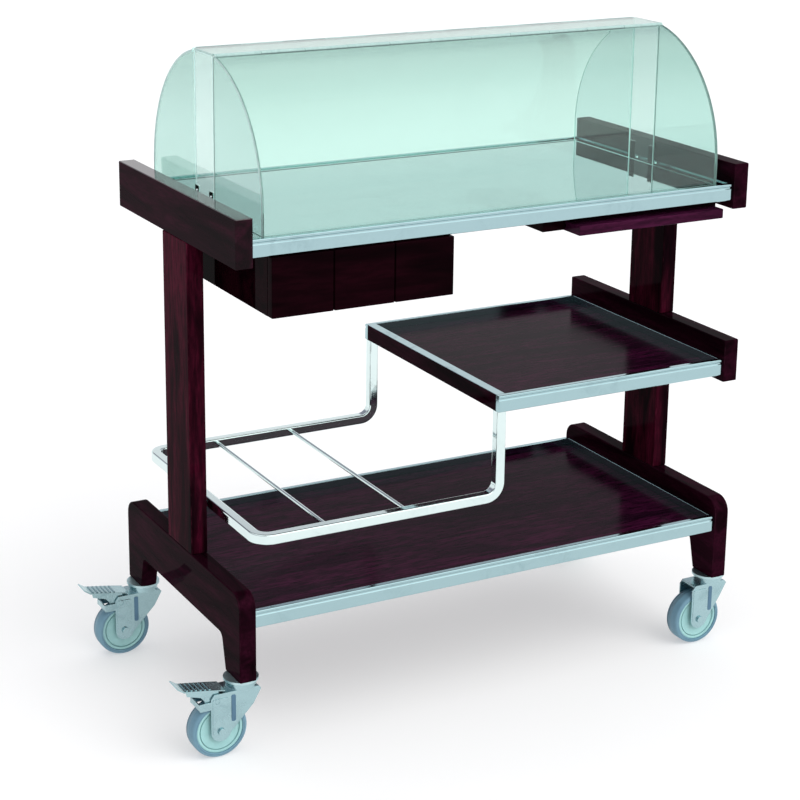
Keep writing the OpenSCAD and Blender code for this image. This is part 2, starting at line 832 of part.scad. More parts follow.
// Outline of a fork cheek in X and Z: wide at the crown, narrow at the axle
module cheek_outline(trail) {
    x0 = -trail - cheek_r;
    polygon([
        [x0, axle_z], [x0, crown_z - 8], [x0 + 6, crown_z],
        [crown_front - 4, crown_z], [crown_front, crown_z - 5], [crown_front - 14, crown_z - 30],
        [-trail + cheek_r * 0.9, axle_z - 6],
    ]);
    translate([-trail, axle_z]) circle(cheek_r);
}

// Pressed rib on the outside of a cheek, down to the axle
module rib_outline(trail) {
    x0 = -trail - cheek_r + 3;
    w = 2 * cheek_r - 9;
    round_rect([x0, axle_z - 4], [x0 + w, crown_z - 8], 3);
}

// Guard around the tyre behind the crown, open to the wheel
module fork_ears() {
    z1 = pivot_z;
    z0 = z1 - ear_h;
    x1 = pivot_x + 1;
    x0 = x1 - ear_len;
    for (s = [-1, 1]) along_y(s > 0 ? cheek_in : -cheek_out, s > 0 ? cheek_out : -cheek_in)
        round_rect([x0, z0], [x1, z1], 2);
    span([x0, -cheek_in - overlap, z0 + 2], [x0 + fork_t, cheek_in + overlap, z1 - 2]);
}

// Pin of the brake pedal, riveted through both cheeks
module brake_pivot() {
    head = 1.5;
    translate([pivot_x, 0, pivot_z]) {
        pin_y(pivot_d, -cheek_out - head, cheek_out + head);
        pin_y(pivot_d + 4, -cheek_out - head, -cheek_out + overlap);
        pin_y(pivot_d + 4, cheek_out - overlap, cheek_out + head);
    }
}

// Swivel fork: crown plate, race ring and two cheeks
module fork(trail, braked) {
    race_in = race_d - 6;
    about_frames() color(steel) difference() {
        union() {
            for (s = [-1, 1]) {
                along_y(s > 0 ? cheek_in : -cheek_out, s > 0 ? cheek_out : -cheek_in)
                    cheek_outline(trail);
                along_y(s > 0 ? cheek_out - overlap : -cheek_out - cheek_rib,
                        s > 0 ? cheek_out + cheek_rib : -cheek_out + overlap) rib_outline(trail);
            }
            span([-crown_back, -cheek_in - overlap, crown_z - fork_t],
                 [crown_front - 4, cheek_in + overlap, crown_z]);
            translate([0, 0, crown_z - overlap]) difference() {
                cylinder(h = race_h - race_gap + overlap, d = race_d);
                translate([0, 0, -1]) cylinder(h = race_h + 2, d = race_in);
            }
            if (braked) fork_ears();
            if (braked) brake_pivot();
        }
        translate([0, 0, crown_z - 2 * fork_t])
            cylinder(h = 3 * fork_t, d = kingpin_d + 2 * pin_fit);
        translate([-trail, 0, axle_z]) pin_y(axle_d, -2 * cheek_out, 2 * cheek_out);
    }
}

// Axle bolt with its head and nut
module axle(trail) {
    face = cheek_out + cheek_rib;
    about_frames() color(steel) translate([-trail, 0, axle_z]) {
        pin_y(axle_d, -face - 3, face + 5);
        pin_y(bolt_head_d, -face - 4, -face);
        rotate([90, 0, 0]) translate([0, 0, -face - 6]) cylinder(h = 6, d = bolt_head_d, $fn = 6);
    }
}

// Dished face and ring groove on one side of a wheel centre, to be cut away
module wheel_face(boss_r, rim_half) {
    rim_ring = 5;
    land = 1.5;
    groove_depth = dish_depth + 1.5;
    groove_r = hub_r - rim_ring - groove_w;
    rotate_extrude() {
        translate([boss_r, rim_half - dish_depth])
            square([groove_r - land - boss_r, dish_depth + 3]);
        translate([groove_r, rim_half - groove_depth]) square([groove_w, groove_depth + 1]);
    }
}

// Wheel centre: disc with a hub boss, dished faces and the axle bore
module wheel_core(trail) {
    boss_r = 12;
    half_w = wheel_w / 2;
    rim_half = half_w - 2;
    about_frames() color(hub_mint) translate([-trail, 0, axle_z]) rotate([90, 0, 0])
        difference() {
            union() {
                translate([0, 0, -rim_half]) cylinder(h = 2 * rim_half, r = hub_r);
                translate([0, 0, -half_w]) cylinder(h = wheel_w, r = boss_r);
            }
            for (side = [0, 1]) mirror([0, 0, side]) wheel_face(boss_r, rim_half);
            translate([0, 0, -wheel_w]) cylinder(h = 2 * wheel_w, d = axle_d + 2 * pin_fit);
        }
}

// Tyre with rounded tread edges, seated on the wheel centre
module tyre(trail) {
    half_w = wheel_w / 2;
    about_frames() color(tyre_grey) translate([-trail, 0, axle_z]) rotate([90, 0, 0])
        rotate_extrude($fn = fine_fn) intersection() {
            round_rect([hub_r - tyre_r, -half_w], [wheel_d / 2, half_w], tyre_r);
            translate([hub_r, -half_w]) square([tyre_t, wheel_w]);
        }
}

// Side outline of the brake pedal in X and Z: foot plate with a turned-up tip
module pedal_outline() {
    root = [-36, crown_z + 2];
    up = [0, pedal_t];
    tip = [pedal_tip, pedal_knee[1] + 10];
    polygon([
        root, root + up, pedal_bend + up, pedal_knee + up, tip, tip - [pedal_t / 2, pedal_t],
        pedal_knee - [pedal_t / 2, 0], pedal_bend,
    ]);
}

// Side plate of the brake pedal: it stiffens the foot plate and reaches down to the shoe
module pedal_arm() {
    reach = wheel_d / 2 + shoe_gap;
    axle_x = -trail_braked;
    polygon([
        pedal_knee + [2, 1], pedal_bend + [0, 1], pedal_bend + [10, -1],
        [pivot_x + 5, pivot_z], [pivot_x + 3, pivot_z - 4],
        for (a = [100 : 4 : 116]) [axle_x + reach * cos(a), axle_z + reach * sin(a)],
        pedal_bend + [-16, -14], pedal_bend + [-22, -7], pedal_knee + [4, -8],
    ]);
}

// Foot brake: pedal, two arms, a barrel on the pivot pin and a shoe above the tyre
module brake() {
    barrel_d = pivot_d + 4;
    arm_out = cheek_in - 1;
    rib_count = 6;
    rib_pitch = 8;
    rib_size = [3, pedal_w - 6, 2];
    rib_start = pedal_bend + [-6, 2.2];
    slope = (pedal_knee[1] - pedal_bend[1]) / (pedal_bend[0] - pedal_knee[0]);
    about_frames() color(steel) difference() {
        union() {
            along_y(-pedal_w / 2, pedal_w / 2) pedal_outline();
            for (y0 = [-arm_out, arm_out - pedal_t]) along_y(y0, y0 + pedal_t) pedal_arm();
            translate([pivot_x, 0, pivot_z]) pin_y(barrel_d, -arm_out, arm_out);
            for (i = [0 : rib_count - 1])
                translate([rib_start[0] - i * rib_pitch, -rib_size[1] / 2,
                           rib_start[1] + i * rib_pitch * slope])
                    cube(rib_size);
        }
        translate([pivot_x, 0, pivot_z]) pin_y(pivot_d + 2 * pin_fit, -pedal_w, pedal_w);
    }
}

module left_front_fork() { at_caster(0) fork(trail(0), true); }
module left_front_axle() { at_caster(0) axle(trail(0)); }
module left_front_wheel() { at_caster(0) wheel_core(trail(0)); }
module left_front_tyre() { at_caster(0) tyre(trail(0)); }
module left_back_fork() { at_caster(1) fork(trail(1), true); }
module left_back_axle() { at_caster(1) axle(trail(1)); }
module left_back_wheel() { at_caster(1) wheel_core(trail(1)); }
module left_back_tyre() { at_caster(1) tyre(trail(1)); }
module right_front_fork() { at_caster(2) fork(trail(2), false); }
module right_front_axle() { at_caster(2) axle(trail(2)); }
module right_front_wheel() { at_caster(2) wheel_core(trail(2)); }
module right_front_tyre() { at_caster(2) tyre(trail(2)); }
module right_back_fork() { at_caster(3) fork(trail(3), false); }
module right_back_axle() { at_caster(3) axle(trail(3)); }
module right_back_wheel() { at_caster(3) wheel_core(trail(3)); }
module right_back_tyre() { at_caster(3) tyre(trail(3)); }
module left_front_brake() { at_caster(0) brake(); }
module left_back_brake() { at_caster(1) brake(); }

left_foot_beam();
left_post();
left_top_rail();
right_foot_beam();
right_post_lower();
right_mid_rail();
right_post_upper();
right_top_rail();
frame_dowels();
shelf_screws();
tray_frame();
tray_deck();
tray_mirror();
mid_shelf_frame();
mid_shelf_panel();
bottom_shelf_frame();
bottom_shelf_panel();
guard_rail();
guard_rods();
guard_spacers();
drawer_case();
left_drawer_box();
left_drawer_front();
middle_drawer_box();
middle_drawer_front();
right_drawer_box();
right_drawer_front();
serving_board();
board_cleats();
dome_left_upright();
dome_right_upright();
dome_top_strip();
dome_brackets();
hinge_rods();
front_cover_shell();
front_cover_ends();
back_cover_shell();
back_cover_ends();
caster_heads();
left_front_fork();
left_front_axle();
left_front_wheel();
left_front_tyre();
left_back_fork();
left_back_axle();
left_back_wheel();
left_back_tyre();
right_front_fork();
right_front_axle();
right_front_wheel();
right_front_tyre();
right_back_fork();
right_back_axle();
right_back_wheel();
right_back_tyre();
left_front_brake();
left_back_brake();
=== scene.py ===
# %% [markdown]
# # A dessert trolley, dressed for its picture
# The construction model gives every board, strip, sheet and wheel in its real place.
# This lesson loads that model, makes finer surfaces for the parts that catch the light,
# and gives each piece a finish: dark gloss lacquer, polished steel, clear mint acrylic.
# Everything is in metres, with X along the trolley, Y from front to back and Z up.

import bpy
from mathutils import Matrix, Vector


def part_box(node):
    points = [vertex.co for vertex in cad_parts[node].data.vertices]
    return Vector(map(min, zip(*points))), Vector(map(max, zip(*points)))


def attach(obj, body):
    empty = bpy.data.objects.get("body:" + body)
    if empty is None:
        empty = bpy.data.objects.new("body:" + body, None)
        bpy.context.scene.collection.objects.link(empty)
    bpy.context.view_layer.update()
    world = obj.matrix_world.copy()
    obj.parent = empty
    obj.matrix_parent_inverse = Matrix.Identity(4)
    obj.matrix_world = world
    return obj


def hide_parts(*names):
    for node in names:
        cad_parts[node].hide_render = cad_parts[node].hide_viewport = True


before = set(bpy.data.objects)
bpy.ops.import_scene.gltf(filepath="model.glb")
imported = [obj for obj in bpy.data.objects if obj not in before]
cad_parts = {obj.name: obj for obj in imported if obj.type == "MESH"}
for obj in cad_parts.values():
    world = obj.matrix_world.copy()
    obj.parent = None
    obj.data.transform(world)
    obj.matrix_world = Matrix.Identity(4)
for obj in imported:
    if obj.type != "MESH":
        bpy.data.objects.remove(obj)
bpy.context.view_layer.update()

import math

import bmesh
import bpy
import numpy as np
from mathutils import Matrix, Vector

MM = 0.001
CASTERS = ("left_front", "left_back", "right_front", "right_back")

# %% [markdown]
# ## The camera
# The photograph looks along the trolley from its left front corner, a little from above.
# A camera could be placed by eye, but one that is fitted to measured points of the
# photograph puts every edge where it belongs. Its direction is given by three angles, and
# a small shift stands for the part of the picture that was cropped away.

# %% Make the camera
CAMERA_PLACE = (-1.67545, -3.00344, 1.63796)
CAMERA_TURN = math.radians(-27.67)
CAMERA_DIP = math.radians(15.60)
CAMERA_ROLL = math.radians(0.38)
CAMERA_SHIFT = (0.05, -0.13)
LENS_MM, SENSOR_MM = 90.29, 36.0


def camera_axes(turn, dip, roll):
    """Right, up and backward directions of a camera that is turned about Z, dipped, then rolled."""
    ahead = Vector(
        (-math.sin(turn) * math.cos(dip), math.cos(turn) * math.cos(dip), -math.sin(dip)))
    level = Vector((math.cos(turn), math.sin(turn), 0))
    above = level.cross(ahead)
    right = level * math.cos(roll) + above * math.sin(roll)
    up = above * math.cos(roll) - level * math.sin(roll)
    return right, up, -ahead


def make_camera():
    """The camera at the photograph's place, with its lens and its small shift."""
    data = bpy.data.cameras.new("photo_camera")
    data.lens, data.sensor_width = LENS_MM, SENSOR_MM
    data.shift_x, data.shift_y = CAMERA_SHIFT
    camera = bpy.data.objects.new("photo_camera", data)
    turn = Matrix(camera_axes(CAMERA_TURN, CAMERA_DIP, CAMERA_ROLL)).transposed()
    camera.matrix_world = Matrix.Translation(CAMERA_PLACE) @ turn.to_4x4()
    bpy.context.scene.collection.objects.link(camera)
    bpy.context.scene.camera = camera
    return camera


print("camera at", np.round(make_camera().location, 3))

# %% [markdown]
# ## Helpers for shapes
# Most new pieces are one of two kinds: a flat board whose edges are rounded, or a turned
# part such as a wheel. Both are worked out as whole arrays: a row of points is carried round
# or across, and neighbouring rows are joined by four-sided faces. For a board, the direction
# of each point's surface is known from the same formula, so broad faces stay flat and
# roundings shine evenly.

# %% Join rows of points, put a mesh in the scene and dress it
STRAIGHT = 0.9


def band_faces(rows, around):
    """Quads between neighbouring closed rows: each joins places j and j+1 of rows i and i+1."""
    i, j = np.meshgrid(np.arange(rows - 1), np.arange(around), indexing="ij")
    k = (j + 1) % around
    quads = [i * around + j, i * around + k, (i + 1) * around + k, (i + 1) * around + j]
    return np.stack(quads, axis=-1).reshape(-1, 4)


def signed_volume(verts, faces):
    """Six times the enclosed volume, by summing tetrahedra over a fan of each face."""
    total = 0.0
    for block in faces:
        corners = verts[block]
        for k in range(1, block.shape[1] - 1):
            cross = np.cross(corners[:, k], corners[:, k + 1])
            total += np.einsum("ij,ij->", corners[:, 0], cross)
    return total


def add_piece(name, verts, faces, normals=None, edge=None):
    """Object whose mesh has these points and faces, turned outwards. Directions of the points
    and a value for how far each lies on a rounding may be given."""
    if signed_volume(verts - verts.mean(0), faces) < 0:
        faces = [block[:, ::-1] for block in faces]
    mesh = bpy.data.meshes.new(name)
    mesh.from_pydata(verts, [], [face for block in faces for face in block.tolist()])
    mesh.shade_smooth()
    if edge is not None:
        rounding = mesh.attributes.new("edge", "FLOAT", "POINT")
        rounding.data.foreach_set("value", edge.astype(np.float32))
    if normals is not None:
        mesh.normals_split_custom_set_from_vertices(normals)
    piece = bpy.data.objects.new(name, mesh)
    bpy.context.scene.collection.objects.link(piece)
    return piece


def face_values(mesh, what):
    """One vector per face, its "normal" or its "center", as an array. A face counts as looking
    along a direction when its normal's part in that direction is more than STRAIGHT."""
    values = np.empty(len(mesh.polygons) * 3, np.float32)
    mesh.polygons.foreach_get(what, values)
    return values.reshape(-1, 3)


def dress(piece, body, finish, *nodes):
    """Gives a piece its body, its finish and the construction nodes that it stands for."""
    piece.data.materials.clear()
    piece.data.materials.append(finish[0])
    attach(piece, body)
    if nodes:
        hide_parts(*nodes)
    return piece


# %% [markdown]
# ### Boards with rounded edges
# A board begins as its outline. Each corner is swapped for an arc: the arc touches both
# sides and turns from one side's direction to the other's, inwards or outwards alike. The
# outline is then carried across the thickness while it is drawn in by a quarter circle at
# both faces.

# %% Outline with round corners, and the board made from it


def rounded_outline(corners, radii, steps=7):
    """Points and outward directions along a closed outline, anticlockwise, with each corner
    replaced by an arc: centre plus radius times the turned direction of the side before it."""
    corners = np.asarray(corners, float)
    radii = np.broadcast_to(np.asarray(radii, float), len(corners))[:, None]
    into = corners - np.roll(corners, 1, 0)
    into /= np.linalg.norm(into, axis=1, keepdims=True)
    away = np.roll(into, -1, 0)
    turn = np.arctan2(into[:, 0] * away[:, 1] - into[:, 1] * away[:, 0], (into * away).sum(1))
    sign = np.sign(turn)[:, None]
    touch = corners - into * radii * np.tan(np.abs(turn) / 2)[:, None]
    side = np.stack([into[:, 1], -into[:, 0]], 1)
    centre = touch - sign * radii * side
    angle = turn[:, None] * np.linspace(0, 1, steps)[None, :]
    cos, sin = np.cos(angle)[..., None], np.sin(angle)[..., None]
    across = np.stack([-side[:, 1], side[:, 0]], 1)
    facing = side[:, None, :] * cos + across[:, None, :] * sin
    points = centre[:, None, :] + (sign * radii)[:, None, :] * facing
    return points.reshape(-1, 2), facing.reshape(-1, 2)


def rounded_board(name, corners, radii, low, high, edge_r, axis, steps=5):
    """Board across one axis between low and high. Its outline lies in the other two axes, and
    near each face it is drawn in by edge_r(1 - sin a) while it moves in by edge_r(1 - cos a).
    The outline's own axes are the two that follow the board's in the order X, Y, Z, X, Y."""
    points, facing = rounded_outline(corners, radii)
    a = np.linspace(0, math.pi / 2, steps)
    inwards, deeper = edge_r * (1 - np.sin(a)), edge_r * (1 - np.cos(a))
    drawn_in = np.concatenate([inwards, inwards[::-1]])
    depth = np.concatenate([low + deeper, (high - deeper)[::-1]])
    lean = np.concatenate([-np.cos(a), np.cos(a)[::-1]])
    rows, around = len(depth), len(points)
    flat = points[None] - facing[None] * drawn_in[:, None, None]
    across = np.broadcast_to(depth[:, None], (rows, around))
    out = facing[None] * np.sqrt(np.clip(1 - lean**2, 0, 1))[:, None, None]
    out_across = np.broadcast_to(lean[:, None], (rows, around))
    order = {"x": (2, 0, 1), "y": (1, 2, 0), "z": (0, 1, 2)}[axis]
    verts = np.stack([flat[..., 0], flat[..., 1], across], -1)[..., order].reshape(-1, 3)
    normals = np.stack([out[..., 0], out[..., 1], out_across], -1)[..., order].reshape(-1, 3)
    edge = np.repeat(1 - np.abs(np.abs(lean) * 2 - 1), around)
    caps = np.arange(around)
    faces = [band_faces(rows, around), caps[None, ::-1], (caps + (rows - 1) * around)[None]]
    return add_piece(name, verts, faces, normals, edge)


def rectangle(low, high):
    """Corners of a rectangle, anticlockwise from its lowest."""
    return [low, (high[0], low[1]), high, (low[0], high[1])]


# %% [markdown]
# ### Turned parts
# A wheel centre or a tyre is a profile that is carried round the axle. The profile is a
# closed line of distances from the axle and places along it, so the mesh closes on itself
# without a seam. Sharp turns of the profile are kept sharp by their angle.

# %% Carry a closed profile round an axle that runs along Y
SHARP_TURN = math.radians(40)


def turned_part(name, profile, centre, around=96):
    """Ring whose points are centre + (r cos t, y, r sin t) for each (r, y) of the profile."""
    r, y = np.asarray(profile, float).T
    t = np.linspace(0, 2 * math.pi, around, endpoint=False)
    along_y = np.outer(y, np.ones(around))
    ring = np.stack([np.outer(r, np.cos(t)), along_y, np.outer(r, np.sin(t))], -1)
    verts = (ring + np.asarray(centre)).reshape(-1, 3)
    closing = band_faces(2, around)
    closing = np.where(closing >= around, closing - around, closing + (len(r) - 1) * around)
    piece = add_piece(name, verts, [band_faces(len(r), around), closing])
    piece.data.set_sharp_from_angle(angle=SHARP_TURN)
    return piece


def both_sides(half_profile):
    """A profile from its half on the +Y side: out along it and back along its mirror image."""
    return list(half_profile) + [(r, -y) for r, y in reversed(half_profile)]


# %% [markdown]
# ### Pressed and moulded parts
# A fork, a pedal or a drawer front has its true shape in the construction model already,
# but with knife edges that no press or sander leaves. A copy of the node is merged into one
# surface, its flat areas are joined, and a small bevel takes every sharp edge off.

# %% Copy a construction node and take off its sharp edges
MERGE_WITHIN, FLAT_WITHIN = 0.002 * MM, math.radians(0.6)


def eased_copy(name, node, width, segments=2, angle=35.0):
    """Merged copy of a node, its coplanar faces joined, with a bevel on edges past the angle."""
    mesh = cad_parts[node].data.copy()
    mesh.name = name
    piece = bpy.data.objects.new(name, mesh)
    bpy.context.scene.collection.objects.link(piece)
    shape = bmesh.new()
    shape.from_mesh(mesh)
    bmesh.ops.remove_doubles(shape, verts=shape.verts, dist=MERGE_WITHIN)
    bmesh.ops.dissolve_limit(
        shape, angle_limit=FLAT_WITHIN, verts=shape.verts, edges=shape.edges)
    shape.to_mesh(mesh)
    shape.free()
    if mesh.has_custom_normals:
        mesh.attributes.remove(mesh.attributes["custom_normal"])
    mesh.shade_smooth()
    bevel = piece.modifiers.new("eased_edges", "BEVEL")
    bevel.width, bevel.segments, bevel.limit_method = width, segments, "ANGLE"
    bevel.angle_limit, bevel.use_clamp_overlap = math.radians(angle), False
    bevel.harden_normals = True
    return piece


# %% [markdown]
# ## Helpers for finishes
# Real surfaces are never even: lacquer has a faint ripple, steel has fine scratches, and
# hands leave dull patches. Such effects are built from a few kinds of node over and over, so
# each kind gets a short function that places one node and gives back its output.

# %% Small tools for building node trees


def new_group(name, inputs, outputs):
    """An empty shader group with named inputs (name, kind, default) and float outputs."""
    tree = bpy.data.node_groups.new(name, "ShaderNodeTree")
    for title, kind, default in inputs:
        socket = tree.interface.new_socket(title, in_out="INPUT", socket_type=kind)
        if default is not None:
            socket.default_value = default
    for title in outputs:
        tree.interface.new_socket(title, in_out="OUTPUT", socket_type="NodeSocketFloat")
    return tree, tree.nodes.new("NodeGroupInput"), tree.nodes.new("NodeGroupOutput")


def put_value(socket, value):
    """Sets a socket, or links another socket to it."""
    if isinstance(value, bpy.types.NodeSocket):
        socket.id_data.links.new(value, socket)
    else:
        socket.default_value = value


def maths(tree, operation, a, b):
    """One Math node on two values or sockets."""
    node = tree.nodes.new("ShaderNodeMath")
    node.operation = operation
    put_value(node.inputs[0], a)
    put_value(node.inputs[1], b)
    return node.outputs[0]


def remap(tree, value, low, high, to_low=0.0, to_high=1.0):
    """Stretches the span low..high of a value to to_low..to_high, smoothly and clamped."""
    node = tree.nodes.new("ShaderNodeMapRange")
    node.interpolation_type = "SMOOTHSTEP"
    for socket, number in zip(list(node.inputs)[:5], (value, low, high, to_low, to_high)):
        put_value(socket, number)
    return node.outputs[0]


def noise(tree, place, scale, detail=2.0, roughness=0.5, distortion=0.0):
    """One noise texture at a place vector."""
    node = tree.nodes.new("ShaderNodeTexNoise")
    put_value(node.inputs["Vector"], place)
    put_value(node.inputs["Scale"], scale)
    node.inputs["Detail"].default_value = detail
    node.inputs["Roughness"].default_value = roughness
    node.inputs["Distortion"].default_value = distortion
    return node.outputs["Fac"]


def stretched(tree, place, scale):
    """The place vector with each axis scaled by its own factor."""
    node = tree.nodes.new("ShaderNodeMapping")
    put_value(node.inputs["Vector"], place)
    node.inputs["Scale"].default_value = scale
    return node.outputs["Vector"]


def mixed_colour(tree, factor, a, b):
    """One colour mixed from two colours or sockets by a factor."""
    node = tree.nodes.new("ShaderNodeMix")
    node.data_type = "RGBA"
    put_value(node.inputs["Factor"], factor)
    places = [socket for socket in node.inputs if socket.type == "RGBA"]
    for socket, colour in zip(places, (a, b)):
        put_value(socket, colour if isinstance(colour, bpy.types.NodeSocket) else (*colour, 1))
    return [socket for socket in node.outputs if socket.type == "RGBA"][0]


# %% [markdown]
# ## Floor and light
# Gloss lacquer and chrome show what stands around them, so the room matters as much as the
# finish. A room that is equally bright all round would lay a grey haze over dark lacquer. A
# studio is different: a white backdrop round the horizon, a dim band above it and a broad
# soft light overhead. The dim band keeps the lacquer deep, and the white parts draw the
# highlights. One wide soft sun from the front right gives the shapes their light side. Its
# disc has a hard rim that would draw bands across the curved covers, so reflections don't
# show the sun: they show a soft box, a bright patch of the room that fades out all round.

# %% Make the floor, the room and the sun
FLOOR_SIZE, FLOOR_GREY, FLOOR_ROUGHNESS, FLOOR_GLOW = 60.0, (0.56, 0.56, 0.56), 0.8, 0.41
BACKDROP, DIM_BAND, OVERHEAD = (0.97, 0.97, 0.99), (0.26, 0.25, 0.31), (1.28, 1.29, 1.3)
BACKDROP_ENDS, OVERHEAD_STARTS = (0.30, 0.48), (0.50, 0.92)
KEY_PLACE, KEY_SOFTBOX, SOFTBOX_FADES = (1.2, -2.6, 2.6), (1.7, 1.7, 1.68), (0.70, 0.99)
SUN_STRENGTH, SUN_SPREAD = 0.9, math.radians(50)


def stage_material(name, colour, roughness, glow):
    """A plain matt finish for what isn't part of the trolley, with a little light of its own."""
    material = bpy.data.materials.new(name)
    material.use_nodes = True
    shader = material.node_tree.nodes["Principled BSDF"]
    shader.inputs["Base Color"].default_value = (*colour, 1)
    shader.inputs["Roughness"].default_value = roughness
    shader.inputs["Emission Color"].default_value = (1, 1, 1, 1)
    shader.inputs["Emission Strength"].default_value = glow
    return material


def make_floor():
    """One large square at height zero."""
    half = FLOOR_SIZE / 2
    mesh = bpy.data.meshes.new("studio_floor")
    corners = [(-half, -half, 0), (half, -half, 0), (half, half, 0), (-half, half, 0)]
    mesh.from_pydata(corners, [], [(0, 1, 2, 3)])
    mesh.materials.append(
        stage_material("floor_paint", FLOOR_GREY, FLOOR_ROUGHNESS, FLOOR_GLOW))
    floor = bpy.data.objects.new("studio_floor", mesh)
    bpy.context.scene.collection.objects.link(floor)


def make_sun():
    """A sun whose light comes from the key light's direction, spread over a wide angle, and
    whose disc no reflection shows."""
    data = bpy.data.lights.new("soft_sun", "SUN")
    data.energy, data.angle = SUN_STRENGTH, SUN_SPREAD
    sun = bpy.data.objects.new("soft_sun", data)
    sun.rotation_mode = "QUATERNION"
    sun.rotation_quaternion = (-Vector(KEY_PLACE)).to_track_quat("-Z", "Y")
    sun.visible_glossy = sun.visible_transmission = False
    bpy.context.scene.collection.objects.link(sun)


def make_room():
    """The room's light by how high a direction points: white low down, dim, bright overhead.
    The soft box lies over it, by how closely a direction points at the key light."""
    world = bpy.data.worlds.new("studio_room")
    world.use_nodes = True
    tree = world.node_tree
    split = tree.nodes.new("ShaderNodeSeparateXYZ")
    place = tree.nodes.new("ShaderNodeTexCoord").outputs["Generated"]
    tree.links.new(place, split.inputs[0])
    above_backdrop = remap(tree, split.outputs["Z"], *BACKDROP_ENDS)
    overhead = remap(tree, split.outputs["Z"], *OVERHEAD_STARTS)
    colour = mixed_colour(tree, above_backdrop, BACKDROP, DIM_BAND)
    colour = mixed_colour(tree, overhead, colour, OVERHEAD)
    towards = tree.nodes.new("ShaderNodeVectorMath")
    towards.operation = "DOT_PRODUCT"
    tree.links.new(place, towards.inputs[0])
    towards.inputs[1].default_value = Vector(KEY_PLACE).normalized()
    in_softbox = remap(tree, towards.outputs["Value"], *SOFTBOX_FADES)
    colour = mixed_colour(tree, in_softbox, colour, KEY_SOFTBOX)
    tree.links.new(colour, tree.nodes["Background"].inputs["Color"])
    bpy.context.scene.world = world


make_floor()
make_room()
make_sun()
bpy.context.scene.view_settings.view_transform = "Standard"

# %% [markdown]
# ## Grain, scratches, smudges and worn edges
# Each effect is one shader group with its own inputs, built once and used in several
# finishes with different values. The groups give only masks; the shader itself stays in each
# material.

# %% Build the four groups
VECTOR, FLOAT = "NodeSocketVector", "NodeSocketFloat"
FIGURE_SCALE, LINES_SCALE, PORES_SCALE = 3.0, 26.0, 90.0
SCRATCH_TURNS, SCRATCH_STRETCH = (0.5, -0.9), (1.0, 14.0, 14.0)
WEAR_SCALE = 28.0


def build_grain():
    """Grain from a stretched place: broad bands, fine lines and open pores, each a noise of its
    own scale, of which one span is kept."""
    tree, given, result = new_group(
        "wood_grain", [("Place", VECTOR, None)], ["Figure", "Lines", "Pores"])
    place = given.outputs["Place"]
    figure = noise(tree, place, FIGURE_SCALE, 3.0, 0.55, 0.9)
    lines = noise(tree, place, LINES_SCALE, 4.0, 0.65, 0.25)
    pores = noise(tree, place, PORES_SCALE, 2.0, 0.5, 0.0)
    tree.links.new(remap(tree, figure, 0.32, 0.68), result.inputs["Figure"])
    tree.links.new(remap(tree, lines, 0.36, 0.66), result.inputs["Lines"])
    tree.links.new(remap(tree, pores, 0.58, 0.72), result.inputs["Pores"])
    return tree


def build_scratches():
    """Hair-thin scratches: two noises, each drawn out in its own direction and cut down to its
    thin crests."""
    tree, given, result = new_group(
        "fine_scratches", [("Place", VECTOR, None), ("Scale", FLOAT, 40.0)], ["Scratches"])
    place, scale = given.outputs["Place"], given.outputs["Scale"]
    crests = []
    for turn in SCRATCH_TURNS:
        mapping = tree.nodes.new("ShaderNodeMapping")
        mapping.inputs["Rotation"].default_value = (turn * 0.7, turn * 0.4, turn)
        mapping.inputs["Scale"].default_value = SCRATCH_STRETCH
        tree.links.new(place, mapping.inputs["Vector"])
        drawn_out = noise(tree, mapping.outputs["Vector"], scale, 2.0, 0.7)
        crests.append(remap(tree, drawn_out, 0.64, 0.72))
    tree.links.new(maths(tree, "MAXIMUM", *crests), result.inputs["Scratches"])
    return tree


def build_smudges():
    """Dull patches left by hands and cloths: a broad noise times one four times as fine."""
    tree, given, result = new_group(
        "wiped_smudges", [("Place", VECTOR, None), ("Scale", FLOAT, 5.0)], ["Smudges"])
    place, scale = given.outputs["Place"], given.outputs["Scale"]
    finer = maths(tree, "MULTIPLY", scale, 4.0)
    broad = remap(tree, noise(tree, place, scale, 3.0, 0.6, 0.6), 0.42, 0.7)
    small = remap(tree, noise(tree, place, finer, 4.0, 0.7, 1.2), 0.35, 0.75)
    tree.links.new(maths(tree, "MULTIPLY", broad, small), result.inputs["Smudges"])
    return tree


def build_worn_edge():
    """Rubbed roundings: the mesh's own edge value, broken up by noise."""
    tree, given, result = new_group("worn_edge", [("Place", VECTOR, None)], ["Wear"])
    attribute = tree.nodes.new("ShaderNodeAttribute")
    attribute.attribute_name = "edge"
    patches = remap(tree, noise(tree, given.outputs["Place"], WEAR_SCALE, 4.0, 0.7), 0.45, 0.75)
    wear = maths(tree, "MULTIPLY", attribute.outputs["Fac"], patches)
    tree.links.new(wear, result.inputs["Wear"])
    return tree


GROUPS = {"grain": build_grain(), "scratches": build_scratches(),
          "smudges": build_smudges(), "wear": build_worn_edge()}
print("shader groups:", ", ".join(tree.name for tree in GROUPS.values()))

# %% [markdown]
# ## A finish
# Every material starts the same way: a shader, and a place vector that is fixed to the
# object, so that a pattern moves with its piece. The class below holds both and offers the
# calls that the finishes have in common.

# %% A material under construction


